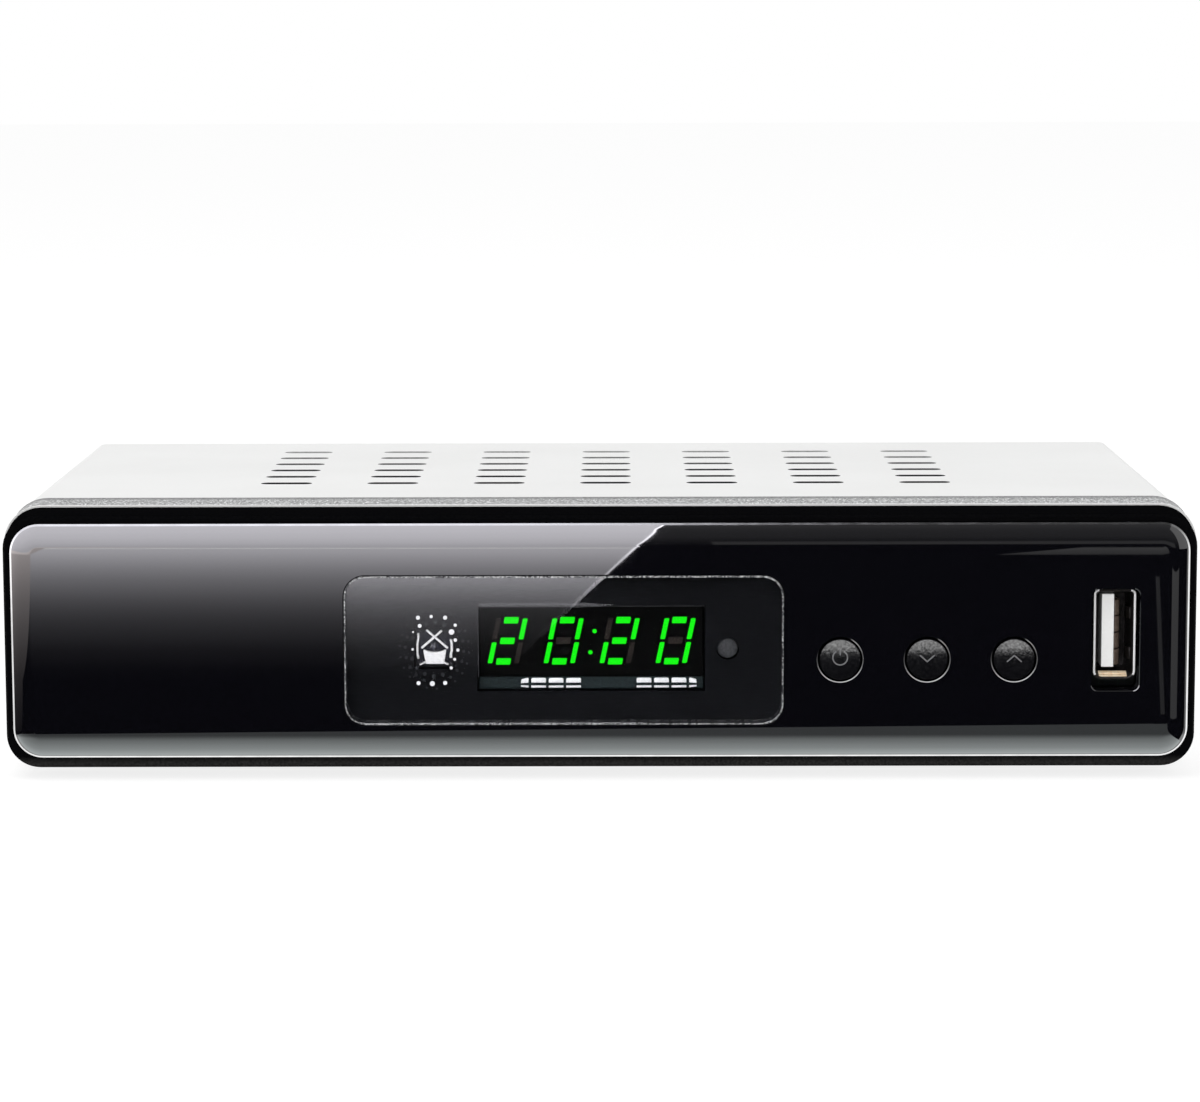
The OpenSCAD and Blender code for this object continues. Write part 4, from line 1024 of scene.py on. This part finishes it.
def socket_fingers():
    """Two bent fingers on the shell's wall across from the tongue."""
    low, _, x, z = bounds_of("data_socket_shell")
    wall, start, row = x + SOCKET_HALF_W - SOCKET_WALL, low[1] + 1.2, 0.65
    finger = block("finger", (wall - 0.18, start, z - 0.9), (wall + 0.02, start + 8 * row, z + 0.9))
    split_edges(finger, runs_along(Y), 7)
    bow(finger, [start + row * i for i in range(1, 7)], lambda y: -0.5 * math.sin(math.pi * min(1, (y - start) / 4.2)))
    soften(finger, 0.05, 1, 60)
    # The fingers wear the painted shade of the inside of the shell
    settle(repeat("socket_fingers", finger, (-3.1, 3.1)), "socket_nickel", paint="inner_nickel")


# Stage

def surface(tree, shader):
    """Puts another shader in place of the usual one."""
    tree.nodes.remove(tree.nodes["Principled BSDF"])
    tree.links.new(shader.outputs[0], tree.nodes["Material Output"].inputs["Surface"])


def seen(tree):
    """1 where the camera sees it, also in a mirror or through glass."""
    rays = add(tree, "ShaderNodeLightPath", {}).outputs
    return sums("MAXIMUM", rays["Is Camera Ray"], sums("MAXIMUM", rays["Is Glossy Ray"], rays["Is Transmission Ray"]))


def studio():
    scene = bpy.context.scene
    scene.view_settings.view_transform = "Standard"
    scene.world = bpy.data.worlds.new("studio_white")
    scene.world.use_nodes = True
    tree = scene.world.node_tree
    connect(tree, tree.nodes["Background"], {"Color": (1, 1, 1, 1), "Strength": level(seen(tree), 0.6, 1.0, 0, 1)})
    let_go()
    bpy.ops.mesh.primitive_plane_add(size=8)
    floor = bpy.context.object
    floor.name = "studio_floor"
    tree = new_finish("floor_white")
    bounce, shade = (add(tree, "ShaderNodeBsdfDiffuse", {"Color": (grey, grey, grey, 1)}) for grey in (0.8, 0.26))
    glow = add(tree, "ShaderNodeEmission", {"Color": (1, 1, 1, 1), "Strength": 0.82})
    shown = add(tree, "ShaderNodeAddShader", {0: shade.outputs[0], 1: glow.outputs[0]})
    surface(tree, add(tree, "ShaderNodeMixShader", {0: seen(tree), 1: bounce.outputs[0], 2: shown.outputs[0]}))
    coat(floor, "floor_white")


def lamp(name, at, aim, size, watts, tall=None):
    """A softbox, round or with a height of its own; only the tall one shows in reflections."""
    data = bpy.data.lights.new(name, "AREA")
    data.shape, data.size, data.energy = "RECTANGLE" if tall else "DISK", size, watts
    if tall:
        data.size_y = tall
    made = bpy.data.objects.new(name, data)
    bpy.context.scene.collection.objects.link(made)
    made.location = at
    made.rotation_euler = (Vector(aim) - Vector(at)).to_track_quat("-Z", "Y").to_euler()
    made.visible_camera = False
    made.visible_glossy = bool(tall)
    return made


def card(name, points, stops, axis="Y", tint=(1, 1, 1), hub=None):
    """A flat studio card that shows only in reflections.

    The stops give its glow as (place, strength) along an axis, or by the distance from a hub on the floor.
    """
    let_go()
    bpy.ops.mesh.primitive_plane_add(size=1)
    made = bpy.context.object
    made.name = name
    for vertex, point in zip(made.data.vertices, points):
        vertex.co = [v * MM for v in point]
    tree = new_finish(name)
    if hub:
        spot = place(tree, offset=(-hub[0] * MM, -hub[1] * MM, 0))
        across = add(tree, "ShaderNodeVectorMath", {0: spot}, operation="LENGTH").outputs["Value"]
    else:
        across = spot_on(tree)[axis]
    start, end = stops[0][0], stops[-1][0]
    top = max(max(glow for _, glow in stops), 0.001)
    shades = [((at - start) / (end - start), tuple(glow / top * t for t in tint)) for at, glow in stops]
    shown = tone(rise(across, start, end), *shades)
    surface(tree, add(tree, "ShaderNodeEmission", {"Color": shown, "Strength": top}))
    coat(made, name)
    made.visible_camera = made.visible_diffuse = False
    made.visible_volume_scatter = made.visible_shadow = False


def upon(z, *spots):
    """Corners of a level card: left and right at its far end, then at its end by the part."""
    return [(x, y, z) for x, y in spots]


def oblong(z, x0, x1, y0, y1):
    return upon(z, (x0, y0), (x1, y0), (x0, y1), (x1, y1))


def upright(y, x0, x1, z0, z1):
    return (x0, y, z0), (x1, y, z0), (x0, y, z1), (x1, y, z1)


def camera():
    """The camera of the photograph, fitted to the edges of the front and of the cover."""
    lens, sensor, stands = 116.25, 36, (2.8, -631.775, 113.0)
    yaw, pitch, roll = (math.radians(a) for a in (-0.27, 7.7, -0.15))
    data = bpy.data.cameras.new("photo_camera")
    data.lens, data.sensor_width, data.sensor_fit = lens, sensor, "HORIZONTAL"
    data.clip_start, data.clip_end = 0.01, 50
    made = bpy.data.objects.new("photo_camera", data)
    bpy.context.scene.collection.objects.link(made)
    made.matrix_world = (Matrix.Translation(Vector(stands) * MM) @ Matrix.Rotation(-yaw, 4, "Z")
                         @ Matrix.Rotation(math.pi / 2 - pitch, 4, "X") @ Matrix.Rotation(roll, 4, "Z"))
    bpy.context.scene.camera = made


studio()
camera()
lamp("top_softbox", (-0.35, -0.25, 1.3), (0, 0, 0.02), 1.1, 6.5)
lamp("front_softbox", (0.1, -1.5, 0.55), (0, -0.05, 0.02), 0.9, 6)
key_light = lamp("key_softbox", (0.05, -1.15, 0.36), (0.05, 0, 0.36), 1.8, 13, 0.62)

# The room that the gloss front mirrors: half its width, its far wall and its ceiling, with a dark one just behind
SIDE, FAR, TOP, BEHIND = 1500, -1200, 2490, 10
cool, warm, green = (1.0, 0.98, 1.05), (1.05, 0.96, 0.96), (0.93, 1.0, 1.0)
card("dark_floor", oblong(0.3, -SIDE, SIDE, FAR, -56), ((-SIDE, 0.0), (SIDE, 0.0)), "X")
card("dark_wall", upright(FAR - BEHIND, -SIDE, SIDE, 0, TOP + BEHIND),
     ((0, 0.01), (260, 0.05), (760, 0.14), (1700, 0.17), (2500, 0.2)), "Z")
card("dark_ceiling", oblong(TOP + BEHIND, -SIDE, SIDE, FAR - BEHIND, 500),
     ((-1210, 0.2), (-420, 0.27), (-300, 0.1), (500, 0.08)))

# The pale side of the room ends in a bright line that runs on from the floor up the wall and over the ceiling
left_glow = ((-400, 3.9), (-322, 3.9), (-311, 3.7), (-298, 2.9), (-283, 2.1), (-268, 1.5), (-254, 1.1), (-240, 0.74),
             (-227, 0.5), (-214, 0.33), (-201, 0.22), (-189, 0.14), (-178, 0.07), (-167, 0.04), (-156, 0.01),
             (-145, 0.0))
left_rise = ((0, 3.9), (260, 4.6), (760, 5.3), (1700, 5.7), (TOP, 5.7))
line_glow = 2.8
for part, start, end, width, stops, axis in (
        ("floor", (7.0, -322, 0.6), (-24, -110, 0.6), (0.6, 0.5), left_glow, "Y"),
        ("far", (10.7, FAR, 0.6), (7.0, -322, 0.6), (1.0, 0.6), ((FAR, 3.9), (-322, 3.9)), "Y"),
        ("wall", (10.7, FAR, 0.6), (34.2, FAR, TOP), (1.0, 1.8), left_rise, "Z"),
        ("ceiling", (34.5, FAR, TOP), (40, 300, TOP), (1.8, 1.8), ((FAR, 5.7), (300, 5.7)), "Y")):
    card("left_" + part, ((-SIDE, *start[1:]), start, (-SIDE, *end[1:]), end), stops, axis, cool)
    past = [(at[0] + more, *at[1:]) for at, more in zip((start, end), width)]
    card(f"left_{part}_line", (start, past[0], end, past[1]), [(at, line_glow * glow) for at, glow in stops],
         axis, cool)
card("left_end", ((-1499, FAR, 0.6), (-1499, 600, 0.6), (-1499, FAR, TOP), (-1499, 600, TOP)), left_rise, "Z", cool)
card("far_line", oblong(0.65, -SIDE, 6.2, -316.6, -315.4), ((-316.6, 5.5), (-315.4, 5.5)))

# Beside the part the floor grows brighter with the distance from its left front corner
side_glow = ((15, 0.0), (45, 0.06), (64, 0.11), (92, 0.2), (120, 0.4), (150, 0.7), (180, 1.1), (205, 1.55),
             (235, 2.3), (266, 3.2), (300, 4.0), (400, 4.5))
for part, points in (("side", upon(0.9, (-SIDE, -455), (-98, -455), (-SIDE, 100), (-193, 100))),
                     ("near", upon(0.95, (-400, -115), (-165, -115), (-400, -58), (-105, -58))),
                     ("beside", oblong(0.95, -400, -105, -58, 60))):
    card("left_" + part, points, side_glow, tint=warm, hub=(-88, -55.6))

card("right_band", upright(-1205, 45, 900, 30, 340), ((30, 0.05), (90, 0.25), (240, 0.25), (340, 0.1)), "Z")
card("right_streak", upon(0.7, (173, -268), (263, -203), (106, -101), (125, -87)), ((-268, 0.45), (-87, 0.35)))
card("flat_streak", upon(0.7, (113.5, -270), (114.3, -270), (92, -108), (92.7, -108)), ((-270, 0.2), (-108, 0.17)))
card("far_streak", upon(0.7, (104, -316), (124, -316), (84, -304), (124, -304)), ((-316, 0.45), (-304, 0.25)))
near_glow = ((-110, 0.4), (-80, 0.41), (-74, 0.48), (-62.5, 0.86), (-57.5, 1.2), (-54, 1.85))
card("near_floor", upon(0.5, (-92.5, -92.6), (95, -100.5), (-92.5, -54), (95, -54)), near_glow, tint=green)
card("near_corner", upon(0.52, (-106.5, -64), (-92.4, -86), (-107, -54), (-92.4, -54)), near_glow, tint=green)
side_cards = [o for o in bpy.data.objects if o.name.startswith(("left_", "near_", "far_", "right_", "flat_"))]

fascia_plate()
window_pane()
button_caps()
button_signs()
eye_cage()
eye_dots()
lamp_lens()
frame_bead()
clock_strokes("clock_strokes", "clock_lit", "clock_green")
clock_strokes("clock_strokes_off", "clock_unlit", "clock_grey")
clock_tabs()
clock_lines()
socket_shell()
socket_tongue()
socket_springs()
socket_fingers()

# The satin caps show one softbox of their own; the cards are there for the gloss of the front alone
caps = [bpy.data.objects[control + "_button_cap"] for control in CONTROLS]
housing = [nodes[name] for name in ("top_cover", "base_pan", "front_frame", "bezel")] + [bpy.data.objects["frame_bead"]]
for name, state, taken, shown in (("light_on_keys", "INCLUDE", caps, [key_light]),
                                  ("cards_off_housing", "EXCLUDE", caps + housing, side_cards)):
    group = bpy.data.collections.new(name)
    for piece in taken:
        group.objects.link(piece)
    for entry in group.collection_objects:
        entry.light_linking.link_state = state
    for each in shown:
        each.light_linking.receiver_collection = group

# Each finish, how far the edges are rounded, and the CAD nodes that wear it
for name, edge, *worn_by in (
        ("cover_paint", 0.25, "top_cover"), ("pan_zinc", 0.1, "base_pan"), ("foot_rubber", 0.3, "rubber_feet"),
        ("frame_silver", 0, "front_frame"), ("bezel_black", 0, "bezel"), ("mask_black", 0, "window_mask"),
        ("clock_black", 0.25, "clock_module"), ("eye_dark", 0, "remote_eye"), ("switch_black", 0.2, "key_switches"),
        ("plunger_brown", 0, "power_plunger", "down_plunger", "up_plunger"),
        ("screw_steel", 0, "cover_screws", "frame_screws", "front_board_screws", "board_screws"),
        ("front_board_green", 0, "front_board"), ("board_green", 0, "main_board"),
        ("standoff_brass", 0.2, "board_standoffs"), ("tuner_tin", 0.28, "tuner_can"),
        ("socket_nickel", 0.2, "aerial_input", "aerial_output", "audio_jack_shell", "power_jack_pin"),
        ("socket_nickel", 0.15, "picture_socket_shell"), ("jack_black", 0.1, "picture_socket_tongue"),
        ("contact_gold", 0.15, "aerial_input_contact"), ("contact_gold", 0.3, "aerial_output_pin"),
        ("chip_black", 0.2, "decoder_chip"), ("chip_black", 0.15, "memory_chips"), ("sink_alu", 0.1, "heat_sink"),
        ("can_blue", 0.4, "capacitors"), ("coil_grey", 0.4, "coils"), ("av_black", 0.15, "av_socket"),
        ("jack_orange", 0.2, "audio_jack_body"), ("jack_black", 0.25, "power_jack_body"),
        ("ribbon_grey", 0, "ribbon_cable"), ("header_ivory", 0.2, "ribbon_headers")):
    for node in worn_by:
        dress(node, name, edge)
